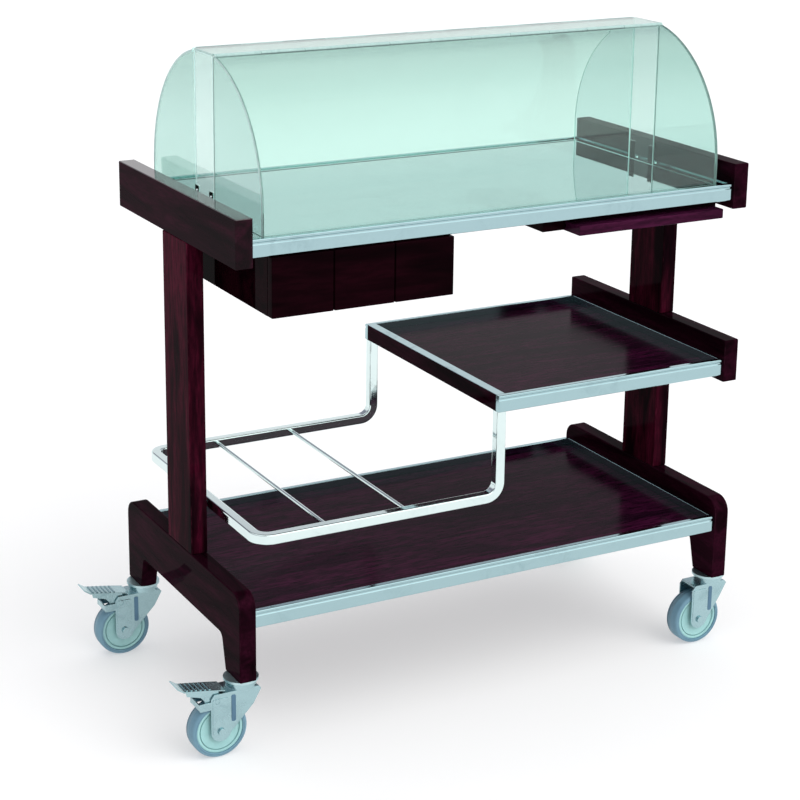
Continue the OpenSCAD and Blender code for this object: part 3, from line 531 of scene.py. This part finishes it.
class Finish:
    """One material being built: its tree, its shader and the place vector on the object."""

    def __init__(self, name, slot):
        self.material = bpy.data.materials.new(name)
        self.material.use_nodes = True
        self.tree = self.material.node_tree
        self.shader = self.tree.nodes["Principled BSDF"]
        self.place = self.tree.nodes.new("ShaderNodeTexCoord").outputs["Object"]
        self.slot = slot

    def group(self, key, **values):
        """Places a shared group and gives back its outputs."""
        node = self.tree.nodes.new("ShaderNodeGroup")
        node.node_tree = GROUPS[key]
        for title, value in values.items():
            put_value(node.inputs[title.replace("_", " ")], value)
        return node.outputs

    def mix(self, factor, a, b):
        """One colour mixed from two by a factor."""
        return mixed_colour(self.tree, factor, a, b)

    def bump(self, height, strength, distance, normal=None):
        """A Bump node on a height."""
        node = self.tree.nodes.new("ShaderNodeBump")
        put_value(node.inputs["Height"], height)
        node.inputs["Strength"].default_value = strength
        node.inputs["Distance"].default_value = distance
        if normal is not None:
            put_value(node.inputs["Normal"], normal)
        return node.outputs["Normal"]

    def set(self, **sockets):
        """Sets or links the shader's own sockets, named with _ for a space."""
        for title, value in sockets.items():
            name = title.replace("_", " ")
            if isinstance(value, tuple):
                value = (*value, 1)
            put_value(self.shader.inputs[name], value)
        return self.done()

    def done(self):
        """The material with the slot that it stands for."""
        return self.material, self.slot


# %% [markdown]
# ## Lacquered wood
# The frames are a dark red wood under many coats of gloss lacquer. The wood gives colour
# and grain, with a purple sheen painted into its lighter colours, and a thin clear coat over
# it gives the reflections. Grain follows the length of each board, so the same finish is made
# for each direction: the place vector is stretched until the noise is long and thin that way.
# The left rail has a bright top in the photograph, made as a painted sheen: there the coat is
# heavy on what looks up and almost nothing elsewhere.

# %% Make the wood finishes
GRAIN_STRETCH = {"x": (1.2, 9.0, 9.0), "y": (9.0, 1.2, 9.0), "z": (9.0, 9.0, 1.2)}
WOOD_ROUGHNESS, COAT_IOR = (0.32, 0.45), 1.13
PORE_BUMP, RIPPLE_BUMP, RIPPLE_SCALE = (0.25, 0.0002), (0.06, 0.002), 16.0
WOOD_SMUDGES, RUBBED_SHARE = 6.0, 0.35
FACES_SIDEWAYS, FACES_UP = 0.3, 0.9


def lacquered_wood(name, slot, along, dark, light, streak, gloss=0.2, shine=0.03, lines=0.7):
    """Wood under a clear coat: two mixes of colour by figure and lines, pores as shallow bump,
    smudges in the roughness and a lighter colour where edges are rubbed. The gloss is the
    coat's weight, the shine its roughness, and lines says how much the streaks show."""
    finish = Finish(name, slot)
    grain = finish.group("grain", Place=stretched(finish.tree, finish.place, GRAIN_STRETCH[along]))
    colour = finish.mix(grain["Figure"], dark, light)
    colour = finish.mix(maths(finish.tree, "MULTIPLY", grain["Lines"], lines), colour, streak)
    wear = finish.group("wear", Place=finish.place)["Wear"]
    rubbed = [min(1, c * 3 + 0.02) for c in light]
    colour = finish.mix(maths(finish.tree, "MULTIPLY", wear, RUBBED_SHARE), colour, rubbed)
    smudges = finish.group("smudges", Place=finish.place, Scale=WOOD_SMUDGES)["Smudges"]
    ripple = noise(finish.tree, finish.place, RIPPLE_SCALE, 1.0)
    normal = finish.bump(ripple, *RIPPLE_BUMP, finish.bump(grain["Pores"], *PORE_BUMP))
    finish.set(
        Base_Color=colour,
        Roughness=remap(finish.tree, smudges, 0.0, 1.0, *WOOD_ROUGHNESS),
        Coat_Weight=gloss, Coat_Roughness=shine, Coat_IOR=COAT_IOR, Specular_IOR_Level=0.0,
        Normal=normal)
    return finish


def top_sheen_coat(finish, top_gloss, side_gloss, coat_ior):
    """The same wood with a painted sheen on top: a thicker coat where a face looks up, so the
    top shines bright and the sides stay dark. The coat's weight follows the height of the face's
    normal."""
    split = finish.tree.nodes.new("ShaderNodeSeparateXYZ")
    geometry = finish.tree.nodes.new("ShaderNodeNewGeometry")
    finish.tree.links.new(geometry.outputs["Normal"], split.inputs[0])
    weight = remap(
        finish.tree, split.outputs["Z"], FACES_SIDEWAYS, FACES_UP, side_gloss, top_gloss)
    return finish.set(Coat_Weight=weight, Coat_IOR=coat_ior)


# The lighter colour is the wood's dark red with a painted purple sheen mixed in. The posts' lighter
# colour is brighter still: a painted sheen for their lit faces.
DARK, RED_WITH_PAINTED_SHEEN = (0.003, 0.0006, 0.0016), (0.024, 0.0028, 0.0100)
STREAK = (0.008, 0.0010, 0.0032)
dark_y = lacquered_wood("dark_lacquer_rails", "dark_wood", "y", DARK, RED_WITH_PAINTED_SHEEN, STREAK).done()
# The left rail's wood, with a painted sheen on the faces that look up.
rail_wood_under_top_sheen = lacquered_wood("rail_lacquer_painted_top_sheen", "dark_wood", "y", DARK, RED_WITH_PAINTED_SHEEN, STREAK)
rail_top_painted_sheen = top_sheen_coat(rail_wood_under_top_sheen, top_gloss=1.0, side_gloss=0.05, coat_ior=2.2)
post_lacquer_painted_sheen = lacquered_wood(
    "post_lacquer_with_painted_sheen", "dark_wood", "z", DARK, (0.066, 0.0048, 0.017), STREAK).done()
dark_x = lacquered_wood(
    "dark_lacquer_drawers", "dark_wood", "x",
    (0.002, 0.0004, 0.0009), (0.010, 0.0011, 0.0030), (0.004, 0.0005, 0.0014)).done()
# The panel and board colours also mix a painted purple sheen into the wood's dark red.
panel_x = lacquered_wood(
    "red_panel_veneer", "red_wood", "x",
    (0.016, 0.003, 0.011), (0.054, 0.006, 0.030), (0.006, 0.0012, 0.0045),
    gloss=0.5, shine=0.2, lines=0.9).done()
board_x = lacquered_wood(
    "serving_board_wood", "board_wood", "x",
    (0.022, 0.003, 0.013), (0.06, 0.008, 0.034), (0.012, 0.002, 0.008),
    gloss=0.5, shine=0.08).done()
plain_y = lacquered_wood(
    "drawer_box_beech", "plain_wood", "y",
    (0.36, 0.22, 0.12), (0.5, 0.34, 0.2), (0.3, 0.17, 0.09), gloss=0.15).done()
print("wood finishes:", len((dark_y, rail_top_painted_sheen, post_lacquer_painted_sheen, dark_x, panel_x, board_x, plain_y)))

# %% [markdown]
# ## Metals
# Four metals: polished stainless strips, the mirror sheet of the tray, chromed tube, and
# zinc on the casters. The zinc comes bright for forks and pedals. For the heads it is duller
# and painted lighter, as painted light where they sit in shade. For the dark strips on the
# forks it is painted dark, as a painted dark reflection. They differ in colour, in how sharp
# their reflections are and in how much they have been scratched. Metallic is full on all of
# them; roughness comes from smudges and scratches, so that reflections break up a little.

# %% Make the metal finishes
METAL_SMUDGES, SCRATCH_SHARE, SCRATCH_DEPTH = 9.0, 0.8, 0.1 * MM


def bright_metal(name, slot, colour, dull, roughness, scratch_scale, scratch_bump, stretch=None):
    """Metal whose roughness rises in smudges and scratches, with scratches as shallow bump
    that may be stretched along an axis. Where it is smudged, its colour turns dull."""
    finish = Finish(name, slot)
    place = finish.place if stretch is None else stretched(finish.tree, finish.place, stretch)
    scratches = finish.group("scratches", Place=place, Scale=scratch_scale)["Scratches"]
    smudges = finish.group("smudges", Place=finish.place, Scale=METAL_SMUDGES)["Smudges"]
    scratched = maths(finish.tree, "MULTIPLY", scratches, SCRATCH_SHARE)
    tired = maths(finish.tree, "MAXIMUM", scratched, smudges)
    return finish.set(
        Base_Color=finish.mix(smudges, colour, dull),
        Metallic=1.0,
        Roughness=remap(finish.tree, tired, 0.0, 1.0, *roughness),
        Normal=finish.bump(scratches, scratch_bump, SCRATCH_DEPTH))


steel = bright_metal(
    "polished_stainless", "stainless", (0.37, 0.53, 0.56), (0.31, 0.45, 0.48),
    (0.08, 0.24), 30.0, 0.10, (0.15, 1.0, 1.0))
mirror = bright_metal(
    "mirror_tray_sheet", "mirror_sheet", (0.68, 0.72, 0.75), (0.62, 0.66, 0.69),
    (0.02, 0.07), 24.0, 0.03)
chrome = bright_metal(
    "chromed_tube", "chrome", (0.72, 0.84, 0.83), (0.62, 0.74, 0.73), (0.04, 0.16), 60.0, 0.06)
zinc = bright_metal(
    "bright_zinc", "zinc", (0.38, 0.55, 0.58), (0.27, 0.41, 0.44), (0.24, 0.50), 70.0, 0.14)
# For the caster heads: rougher zinc with a lighter colour, painted light for heads that sit in the
# leg's shade.
dull_zinc_painted_light = bright_metal(
    "dull_zinc_painted_light", "zinc", (0.50, 0.68, 0.70), (0.33, 0.47, 0.50), (0.42, 0.62), 90.0, 0.2)
# Dark zinc for the strips on the fork cheeks: a painted dark reflection.
zinc_painted_shade = bright_metal(
    "zinc_painted_shade", "zinc", (0.12, 0.22, 0.31), (0.10, 0.18, 0.26), (0.30, 0.55), 70.0, 0.14)
print("metal finishes:", len((steel, mirror, chrome, zinc, dull_zinc_painted_light, zinc_painted_shade)))

# %% [markdown]
# ## Clear acrylic
# The dome is made of clear sheets with a mint tint: the curved covers and the strip along
# the top, the quarter-round ends, which look darker, and the slightly hazy uprights. What
# crosses a sheet is tinted a little, and a painted shade deepens the tint towards the crown.
# What leaves it at a cut edge has travelled along the whole sheet, and following that light
# inside would take far too many bounces, so the cut edges get a finish of their own, half
# glossy with the fine lines of the saw, and that light is painted on them as a glow. Some
# edges draw a grey line in the photograph, painted as a darker shade with a faint glow, and
# others glow brightly, so there are two of them.

# %% Make the acrylic finishes
CROWN_STARTS, CROWN_ENDS, UNEVEN = 1.00, 1.15, 0.04
ACRYLIC_SMUDGES, ACRYLIC_SCRATCHES, ACRYLIC_ROUGHNESS, ACRYLIC_IOR = 7.0, 22.0, 0.025, 1.4
SAW_STRETCH, EDGE_ROUGHNESS, EDGE_PAINTED_GLOW = (900.0, 60.0, 60.0), 0.3, (0.60, 0.84, 0.80)


def clear_acrylic(name, clear, deep, transmission=1.0):
    """Clear sheet: tinted transmission, with a painted shade that deepens the tint by height
    towards the dome's crown, and faint scratches and smudges in its shine."""
    finish = Finish(name, "clear_sheet")
    split = finish.tree.nodes.new("ShaderNodeSeparateXYZ")
    finish.tree.links.new(finish.place, split.inputs[0])
    uneven = maths(finish.tree, "MULTIPLY", noise(finish.tree, finish.place, 3.0, 2.0), UNEVEN)
    height = maths(finish.tree, "ADD", split.outputs["Z"], uneven)
    smudges = finish.group("smudges", Place=finish.place, Scale=ACRYLIC_SMUDGES)["Smudges"]
    scratches = finish.group(
        "scratches", Place=finish.place, Scale=ACRYLIC_SCRATCHES)["Scratches"]
    tired = maths(finish.tree, "MAXIMUM", maths(finish.tree, "MULTIPLY", scratches, 0.5), smudges)
    return finish.set(
        # Painted shade: the tint turns to the deeper colour towards the crown.
        Base_Color=finish.mix(remap(finish.tree, height, CROWN_STARTS, CROWN_ENDS), clear, deep),
        Roughness=remap(finish.tree, tired, 0.0, 1.0, 0.0, ACRYLIC_ROUGHNESS),
        Transmission_Weight=transmission, IOR=ACRYLIC_IOR, Metallic=0.0)


def cut_edge(name, dull, pale, glow):
    """Cut edge of a clear sheet: two greens by fine saw lines, with a painted glow for the light
    that leaves the sheet there.
    """
    finish = Finish(name, "clear_sheet")
    lines = noise(finish.tree, stretched(finish.tree, finish.place, SAW_STRETCH), 1.0, 2.0, 0.6)
    return finish.set(
        Base_Color=finish.mix(remap(finish.tree, lines, 0.3, 0.7), dull, pale),
        Roughness=EDGE_ROUGHNESS, Normal=finish.bump(lines, 0.1, SCRATCH_DEPTH),
        Emission_Color=EDGE_PAINTED_GLOW, Emission_Strength=glow)


curved_sheet = clear_acrylic("clear_mint_cover", (0.75, 0.92, 0.87), (0.63, 0.79, 0.74))
end_sheet = clear_acrylic("clear_mint_end", (0.60, 0.77, 0.735), (0.54, 0.71, 0.67))
upright_sheet = clear_acrylic(
    "hazy_upright", (0.84, 0.94, 0.92), (0.78, 0.90, 0.88), transmission=0.91)
# The grey kind of edge gets a darker colour as painted shade and a faint painted glow. The pale
# kind gets a pale colour and a strong painted glow.
edge_painted_shade_faint_glow = cut_edge("cut_edge_painted_shade_faint_glow", (0.26, 0.40, 0.38), (0.38, 0.54, 0.51), glow=0.12)
edge_painted_glow = cut_edge("cut_edge_painted_glow", (0.60, 0.80, 0.77), (0.74, 0.90, 0.87), glow=0.40)
print("acrylic finishes:", len((curved_sheet, end_sheet, upright_sheet, edge_painted_shade_faint_glow, edge_painted_glow)))

# %% [markdown]
# ## Wheel centre and tyre
# The wheel centres are moulded in pale green plastic, and the tyres are blue-grey rubber.
# Both get a fine grain and some smudges in the roughness, and the rubber is the rougher one.

# %% Make the wheel finishes
SHADE_SCALE, MOULD_SMUDGES, GRAIN_DEPTH = 22.0, 30.0, 0.3 * MM


def moulded(name, slot, colour, shade, roughness, grain_scale, grain_bump):
    """Moulded plastic or rubber: a slow change of shade and a fine surface grain."""
    finish = Finish(name, slot)
    slow = remap(finish.tree, noise(finish.tree, finish.place, SHADE_SCALE, 3.0, 0.6), 0.3, 0.7)
    fine = noise(finish.tree, finish.place, grain_scale, 3.0, 0.6)
    smudges = finish.group("smudges", Place=finish.place, Scale=MOULD_SMUDGES)["Smudges"]
    return finish.set(
        Base_Color=finish.mix(slow, colour, shade),
        Roughness=remap(finish.tree, smudges, 0.0, 1.0, *roughness),
        Normal=finish.bump(fine, grain_bump, GRAIN_DEPTH))


hub_plastic = moulded(
    "mint_wheel_plastic", "hub", (0.32, 0.57, 0.56), (0.28, 0.51, 0.51), (0.35, 0.55), 300.0, 0.08)
tyre_rubber = moulded(
    "grey_tyre_rubber", "tyre", (0.12, 0.24, 0.32), (0.15, 0.29, 0.37), (0.5, 0.7), 500.0, 0.25)
print("wheel finishes:", len((hub_plastic, tyre_rubber)))

# %% [markdown]
# ## The end frames
# Each end of the trolley is built from boards on edge: a foot beam with two legs, posts and
# rails. Lacquered boards show a thin white line along every rounded edge, so each board is
# made anew as a rounded outline carried across its thickness.

# %% Make the boards of both end frames
EDGE_R, CORNER_R, SHOULDER_R, ARCH_R = 2.0 * MM, 2.3 * MM, 28 * MM, 12 * MM
LEG_IN, LEG_ROOT, ARCH_TOP = 190 * MM, 175.06 * MM, 194 * MM


def plain_board(node, finish):
    """Rectangular board on edge, in the box of its node."""
    low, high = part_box(node)
    corners = rectangle((low.y, low.z), (high.y, high.z))
    piece = rounded_board(node + "_board", corners, CORNER_R, low.x, high.x, EDGE_R, "x")
    return dress(piece, "frame", finish, node)


def foot_board(node):
    """Foot beam: an outline with two tapering legs, round shoulders and a low arch whose
    corners are round too."""
    low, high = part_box(node)
    corners = [(low.y, low.z), (-LEG_IN, low.z), (-LEG_ROOT, ARCH_TOP), (LEG_ROOT, ARCH_TOP),
               (LEG_IN, low.z), (high.y, low.z), (high.y, high.z), (low.y, high.z)]
    radii = np.repeat([CORNER_R, ARCH_R, CORNER_R, SHOULDER_R], 2)
    piece = rounded_board(node + "_board", corners, radii, low.x, high.x, EDGE_R, "x")
    return dress(piece, "frame", dark_y, node)


PLAIN_BOARDS = {
    "left_top_rail": rail_top_painted_sheen, "right_mid_rail": dark_y, "right_top_rail": dark_y,
    "left_post": post_lacquer_painted_sheen, "right_post_lower": post_lacquer_painted_sheen, "right_post_upper": post_lacquer_painted_sheen,
}
boards = [plain_board(node, finish) for node, finish in PLAIN_BOARDS.items()]
boards += [foot_board(node) for node in ("left_foot_beam", "right_foot_beam")]
print("boards:", len(boards), "with edges rounded by", EDGE_R / MM, "mm")

# %% [markdown]
# ## Stainless shelf edges
# Each shelf panel lies in a frame of bent stainless strip. The long strips have a shallow
# groove pressed along their outer face, which draws fine lines between a narrow bright band
# and a broad one. A strip is a rounded outline with that groove, carried along the shelf.
# Under the panel's edge, a narrow flange runs all round. The middle shelf stops half-way, and
# the outer face of its left end is dark, so that face gets the dark lacquer.

# %% Make the three shelf frames
STRIP_T, END_T, FLANGE_W, FLANGE_T = 10 * MM, 4 * MM, 8 * MM, 2 * MM
GROOVE_TOP, GROOVE_LOW, GROOVE_DEPTH = 4.5 * MM, 9.5 * MM, 1.3 * MM
SECTION_RADII = np.array([2.0, 0.8, 0.8, 0.8, 0.8, 2.0, 1.0, 1.0]) * MM
STRIP_EDGE_R, FLANGE_EDGE_R = 0.3 * MM, 0.2 * MM
END_CORNER_R, END_EDGE_R = 0.8 * MM, 0.1 * MM
LEFT_ENDS = {"tray_frame": END_T, "mid_shelf_frame": 18 * MM, "bottom_shelf_frame": END_T}


def strip_outline(outer, inner, low, high):
    """Corners of a strip's section in Y and Z, with the groove in its outer face."""
    inward = math.copysign(GROOVE_DEPTH, inner - outer)
    top, bottom = high - GROOVE_TOP, high - GROOVE_LOW
    corners = [(outer, high), (outer, top), (outer + inward, top - GROOVE_DEPTH),
               (outer + inward, bottom + GROOVE_DEPTH), (outer, bottom), (outer, low),
               (inner, low), (inner, high)]
    return corners if inner > outer else corners[::-1]


def joined(name, parts):
    """One object from several, each a closed surface of its own."""
    with bpy.context.temp_override(active_object=parts[0], selected_editable_objects=parts):
        bpy.ops.object.join()
    parts[0].name = parts[0].data.name = name
    return parts[0]


def shelf_edge(node, left_t):
    """The four strips and the flange of one shelf, in the box of its node."""
    low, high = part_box(node)
    x0, x1 = low.x + left_t, high.x - END_T
    y0, y1 = low.y + STRIP_T, high.y - STRIP_T
    parts = []
    for outer, inner in ((low.y, y0), (high.y, y1)):
        outline = strip_outline(outer, inner, low.z, high.z)
        radii = SECTION_RADII if inner > outer else SECTION_RADII[::-1]
        parts.append(rounded_board("strip", outline, radii, low.x, high.x, STRIP_EDGE_R, "x"))
    for start, end in ((low.x, x0), (x1, high.x)):
        outline = rectangle((low.z, start), (high.z, end))
        parts.append(rounded_board("end", outline, END_CORNER_R, y0, y1, END_EDGE_R, "y"))
    plates = [((x0, y0), (x1, y0 + FLANGE_W)),
              ((x0, y1 - FLANGE_W), (x1, y1)),
              ((x0, y0 + FLANGE_W), (x0 + FLANGE_W, y1 - FLANGE_W)),
              ((x1 - FLANGE_W, y0 + FLANGE_W), (x1, y1 - FLANGE_W))]
    for corner, far in plates:
        parts.append(rounded_board("flange", rectangle(corner, far), STRIP_EDGE_R,
                                   low.z, low.z + FLANGE_T, FLANGE_EDGE_R, "z"))
    return dress(joined(node.replace("_frame", "_edge"), parts), "frame", steel, node)


def face_end_with_wood(edge, low):
    """The outer face of a shelf's left end gets the dark lacquer as a second finish: the faces
    that look along -X, lie outermost in X and lie between the two long strips."""
    mesh = edge.data
    mesh.materials.append(dark_y[0])
    centre = face_values(mesh, "center")
    outward = face_values(mesh, "normal")[:, 0] < -STRAIGHT
    outermost = centre[:, 0] < low.x + 1 * MM
    between = np.abs(centre[:, 1]) < abs(low.y) - STRIP_T
    facing = (outward & outermost & between).astype(np.int32)
    mesh.polygons.foreach_set("material_index", facing)


for node, left_t in LEFT_ENDS.items():
    edge = shelf_edge(node, left_t)
    if node == "mid_shelf_frame":
        face_end_with_wood(edge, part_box(node)[0])
    print(edge.name, "has", len(edge.data.polygons), "faces")

# %% [markdown]
# ## Wheels
# The photograph shows a pale disc with a thin dark groove near its rim, a lighter ring
# outside the groove, and a rounded tyre. Both are turned shapes, so each is one profile
# carried round the axle. The profiles are in millimetres: distance from the axle, then place
# along it from the wheel's middle.

# %% Make the four wheels
BORE_R, BOSS_R, BOSS_OUT, BOSS_ROUND = 4.05, 12.0, 16.0, 1.4
FACE_OUT, RING_OUT, GROOVE_FLOOR = 12.1, 14.0, 10.6
TYRE_SHOULDER, TYRE_CROWN, TYRE_AROUND = 6.0, 0.25, 128


def arc(centre, radius, start, end, steps):
    """Points on a circle between two angles in degrees, as (r, y) pairs."""
    a = np.radians(np.linspace(start, end, steps))
    return list(zip(centre[0] + radius * np.cos(a), centre[1] + radius * np.sin(a)))


def wheel_profile(rim_r):
    """Half profile of a wheel centre: bore, rounded boss, dished face, the thin groove and the
    ring outside it."""
    rounding = BOSS_R - BOSS_ROUND
    half = [(BORE_R, BOSS_OUT), (rounding, BOSS_OUT)]
    half += arc((rounding, BOSS_OUT - BOSS_ROUND), BOSS_ROUND, 75, 10, 4)
    half += [(12.6, 12.9), (13.4, FACE_OUT), (rim_r - 9.0, FACE_OUT)]
    half += [(rim_r - 7.6, 12.6), (rim_r - 6.9, 13.3)]
    half += [(rim_r - 6.6, GROOVE_FLOOR), (rim_r - 5.4, GROOVE_FLOOR), (rim_r - 5.1, 13.6)]
    half += [(rim_r - 4.6, RING_OUT), (rim_r - 1.4, RING_OUT), (rim_r - 0.3, 13.5), (rim_r, 12.6)]
    return half


def tyre_profile(rim_r, wheel_r, half_w):
    """Half profile of a tyre: mould line in the middle of a crowned tread, rounded shoulder,
    side and seat."""
    tread_r = wheel_r - TYRE_CROWN
    half = [(wheel_r, 0.0), (wheel_r, 0.25), (wheel_r - 0.15, 0.5)]
    half += [(tread_r, half_w - TYRE_SHOULDER - 1)]
    half += arc((tread_r - TYRE_SHOULDER, half_w - TYRE_SHOULDER), TYRE_SHOULDER, 85, 5, 7)
    half += [(wheel_r - 6.4, half_w), (rim_r + 0.3, half_w - 0.4), (rim_r, half_w - 1.6)]
    return half


for caster in CASTERS:
    low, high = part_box(f"{caster}_tyre")
    centre = (low + high) / 2
    rim_low, rim_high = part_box(f"{caster}_wheel")
    rim_r = (rim_high.z - rim_low.z) / 2 / MM
    wheel_r, half_w = (high.z - low.z) / 2 / MM, (high.y - low.y) / 2 / MM
    profile = np.array(both_sides(wheel_profile(rim_r))) * MM
    core = turned_part(f"{caster}_wheel_centre", profile, centre)
    dress(core, f"{caster}_wheel", hub_plastic, f"{caster}_wheel")
    half = tyre_profile(rim_r, wheel_r, half_w)
    profile = np.array(both_sides(half)[1:-1] + half[:1]) * MM
    tread = turned_part(f"{caster}_tread", profile, centre, TYRE_AROUND)
    dress(tread, f"{caster}_wheel", tyre_rubber, f"{caster}_tyre")
print("wheel centre radius", round(rim_r, 1), "mm, tyre radius", round(wheel_r, 1), "mm")

# %% [markdown]
# ## Forks, brakes and drawer fronts
# These keep the shape of the construction model, with their knife edges taken off. Each
# fork cheek also gets the long dark band that the photograph shows between its light plate
# and its front edge, as a painted dark reflection: a rounded bar in dark zinc that stands
# less far out than the plate.

# %% Ease the edges of pressed and joined parts
SHADE_STRIP_FROM_AXLE, SHADE_STRIP_RISE = (18.5 * MM, 26.5 * MM), (14.0 * MM, 62.0 * MM)
SHADE_STRIP_END_R, SHADE_STRIP_EDGE_R, SHADE_STRIP_SUNK, SHADE_STRIP_PROUD = 3 * MM, 0.5 * MM, 0.3 * MM, 0.8 * MM
CHEEK_FACE = 20.5 * MM


def ease_and_dress(node, ending, width, body, finish):
    """Eased copy of a node that stands for it, on its body and in its finish."""
    return dress(eased_copy(f"{node}_{ending}", node, width), body, finish, node)


def fork_shade_strip(caster):
    """Painted dark reflection on both cheeks of a fork: a dark rounded bar, measured from the axle,
    in front of the rib.
    """
    low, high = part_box(f"{caster}_tyre")
    axle = (low + high) / 2
    outline = rectangle((axle.z + SHADE_STRIP_RISE[0], axle.x + SHADE_STRIP_FROM_AXLE[0]),
                        (axle.z + SHADE_STRIP_RISE[1], axle.x + SHADE_STRIP_FROM_AXLE[1]))
    parts = []
    for side in (-1, 1):
        sunk = axle.y + side * (CHEEK_FACE - SHADE_STRIP_SUNK)
        proud = axle.y + side * (CHEEK_FACE + SHADE_STRIP_PROUD)
        parts.append(rounded_board("shade_strip_half", outline, SHADE_STRIP_END_R, min(sunk, proud),
                                   max(sunk, proud), SHADE_STRIP_EDGE_R, "y"))
    return dress(joined(f"{caster}_fork_shade_strip", parts), f"{caster}_swivel", zinc_painted_shade)


eased = []
for caster in CASTERS:
    swivel = f"{caster}_swivel"
    eased.append(ease_and_dress(f"{caster}_fork", "pressing", 0.5 * MM, swivel, zinc))
    eased.append(ease_and_dress(f"{caster}_axle", "bolt", 0.6 * MM, swivel, zinc))
    fork_shade_strip(caster)
for brake in ("left_front_brake", "left_back_brake"):
    eased.append(ease_and_dress(brake, "pressing", 0.35 * MM, brake, zinc))
for drawer in ("left_drawer", "middle_drawer", "right_drawer"):
    eased.append(ease_and_dress(f"{drawer}_front", "board", 0.8 * MM, drawer, dark_x))
eased.append(ease_and_dress("serving_board", "slab", 0.8 * MM, "serving_board", board_x))
print("eased copies:", len(eased))

# %% [markdown]
# ## The clear dome
# Every sheet of the dome has two kinds of face: the broad ones that are looked through and
# the narrow cut ones. They are told apart by direction. On a flat panel the broad faces look
# along one axis; on a curved cover they look straight at the curve's centre line or away
# from it. The small hinge knuckles are machined from the same sheet and count as cut.

# %% Sort the faces of each sheet and dress them
DOME_LINE = np.array([0.0, -5.0, 918.0]) * MM
ROD_R, KNUCKLE_R = 1.5 * MM, 4.3 * MM


def looks_along(mesh, axis):
    """True where a face looks along an axis."""
    return np.abs(face_values(mesh, "normal")[:, axis]) > STRAIGHT


def looks_at_dome_line(mesh):
    """True where a face looks at the curve's centre line: its normal lies along the line from
    there to the face, which is level for the straight skirt below the centre."""
    out = face_values(mesh, "center") - DOME_LINE
    out[:, 0], out[:, 2] = 0.0, np.maximum(out[:, 2], 0.0)
    out /= np.linalg.norm(out, axis=1, keepdims=True)
    return np.abs((out * face_values(mesh, "normal")).sum(1)) > STRAIGHT


def near_hinge(mesh):
    """True for the faces of the knuckles, which lie within a few millimetres of a hinge rod."""
    low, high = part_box("hinge_rods")
    centre = face_values(mesh, "center")
    rods = np.array([low.y + ROD_R, high.y - ROD_R])
    off_y = np.abs(centre[:, 1, None] - rods).min(1)
    return np.hypot(off_y, centre[:, 2] - (low.z + high.z) / 2) < KNUCKLE_R


def clear_piece(node, body, broad, sheet, edge_finish):
    """Eased copy of a clear node: broad faces clear, cut faces and their easing in the finish
    of the edge."""
    piece = eased_copy(node + "_sheet", node, 0.35 * MM, segments=1, angle=60.0)
    dress(piece, body, sheet, node)
    mesh = piece.data
    mesh.materials.append(edge_finish[0])
    cut = ~broad(mesh) | near_hinge(mesh)
    mesh.polygons.foreach_set("material_index", cut.astype(np.int32))
    piece.modifiers["eased_edges"].material = 1
    return int(cut.sum())


def along_x(mesh):
    """The broad faces of an end or an upright."""
    return looks_along(mesh, 0)


def along_z(mesh):
    """The broad faces of the strip along the top."""
    return looks_along(mesh, 2)


SHEETS = [
    ("front_cover_shell", "front_cover", looks_at_dome_line, curved_sheet, edge_painted_shade_faint_glow),
    ("front_cover_ends", "front_cover", along_x, end_sheet, edge_painted_shade_faint_glow),
    ("back_cover_shell", "back_cover", looks_at_dome_line, curved_sheet, edge_painted_shade_faint_glow),
    ("back_cover_ends", "back_cover", along_x, end_sheet, edge_painted_glow),
    ("dome_left_upright", "frame", along_x, upright_sheet, edge_painted_glow),
    ("dome_right_upright", "frame", along_x, upright_sheet, edge_painted_glow),
    ("dome_top_strip", "frame", along_z, curved_sheet, edge_painted_shade_faint_glow),
]
cut_faces = sum(clear_piece(*sheet) for sheet in SHEETS)
print("cut faces on the dome:", cut_faces)

# %% [markdown]
# ## Finishes for the nodes that stay
# The panels, the tube with its rods, the case, the caster heads and all that is hidden
# already have the right shape, so they only get their finish.

# %% Give the remaining nodes their finishes
STAYING = {
    "frame_dowels": plain_y, "shelf_screws": zinc, "tray_deck": dark_x, "tray_mirror": mirror,
    "mid_shelf_panel": panel_x, "bottom_shelf_panel": panel_x, "guard_rail": chrome,
    "guard_rods": chrome, "guard_spacers": zinc, "drawer_case": dark_x,
    "left_drawer_box": plain_y, "middle_drawer_box": plain_y, "right_drawer_box": plain_y,
    "board_cleats": dark_x, "dome_brackets": chrome, "hinge_rods": chrome,
    "caster_heads": dull_zinc_painted_light,
}
for node, finish in STAYING.items():
    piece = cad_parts[node]
    if piece.material_slots:
        for place in piece.material_slots:
            place.material = finish[0]
    else:
        piece.data.materials.append(finish[0])
print("construction nodes with new finishes:", len(STAYING))
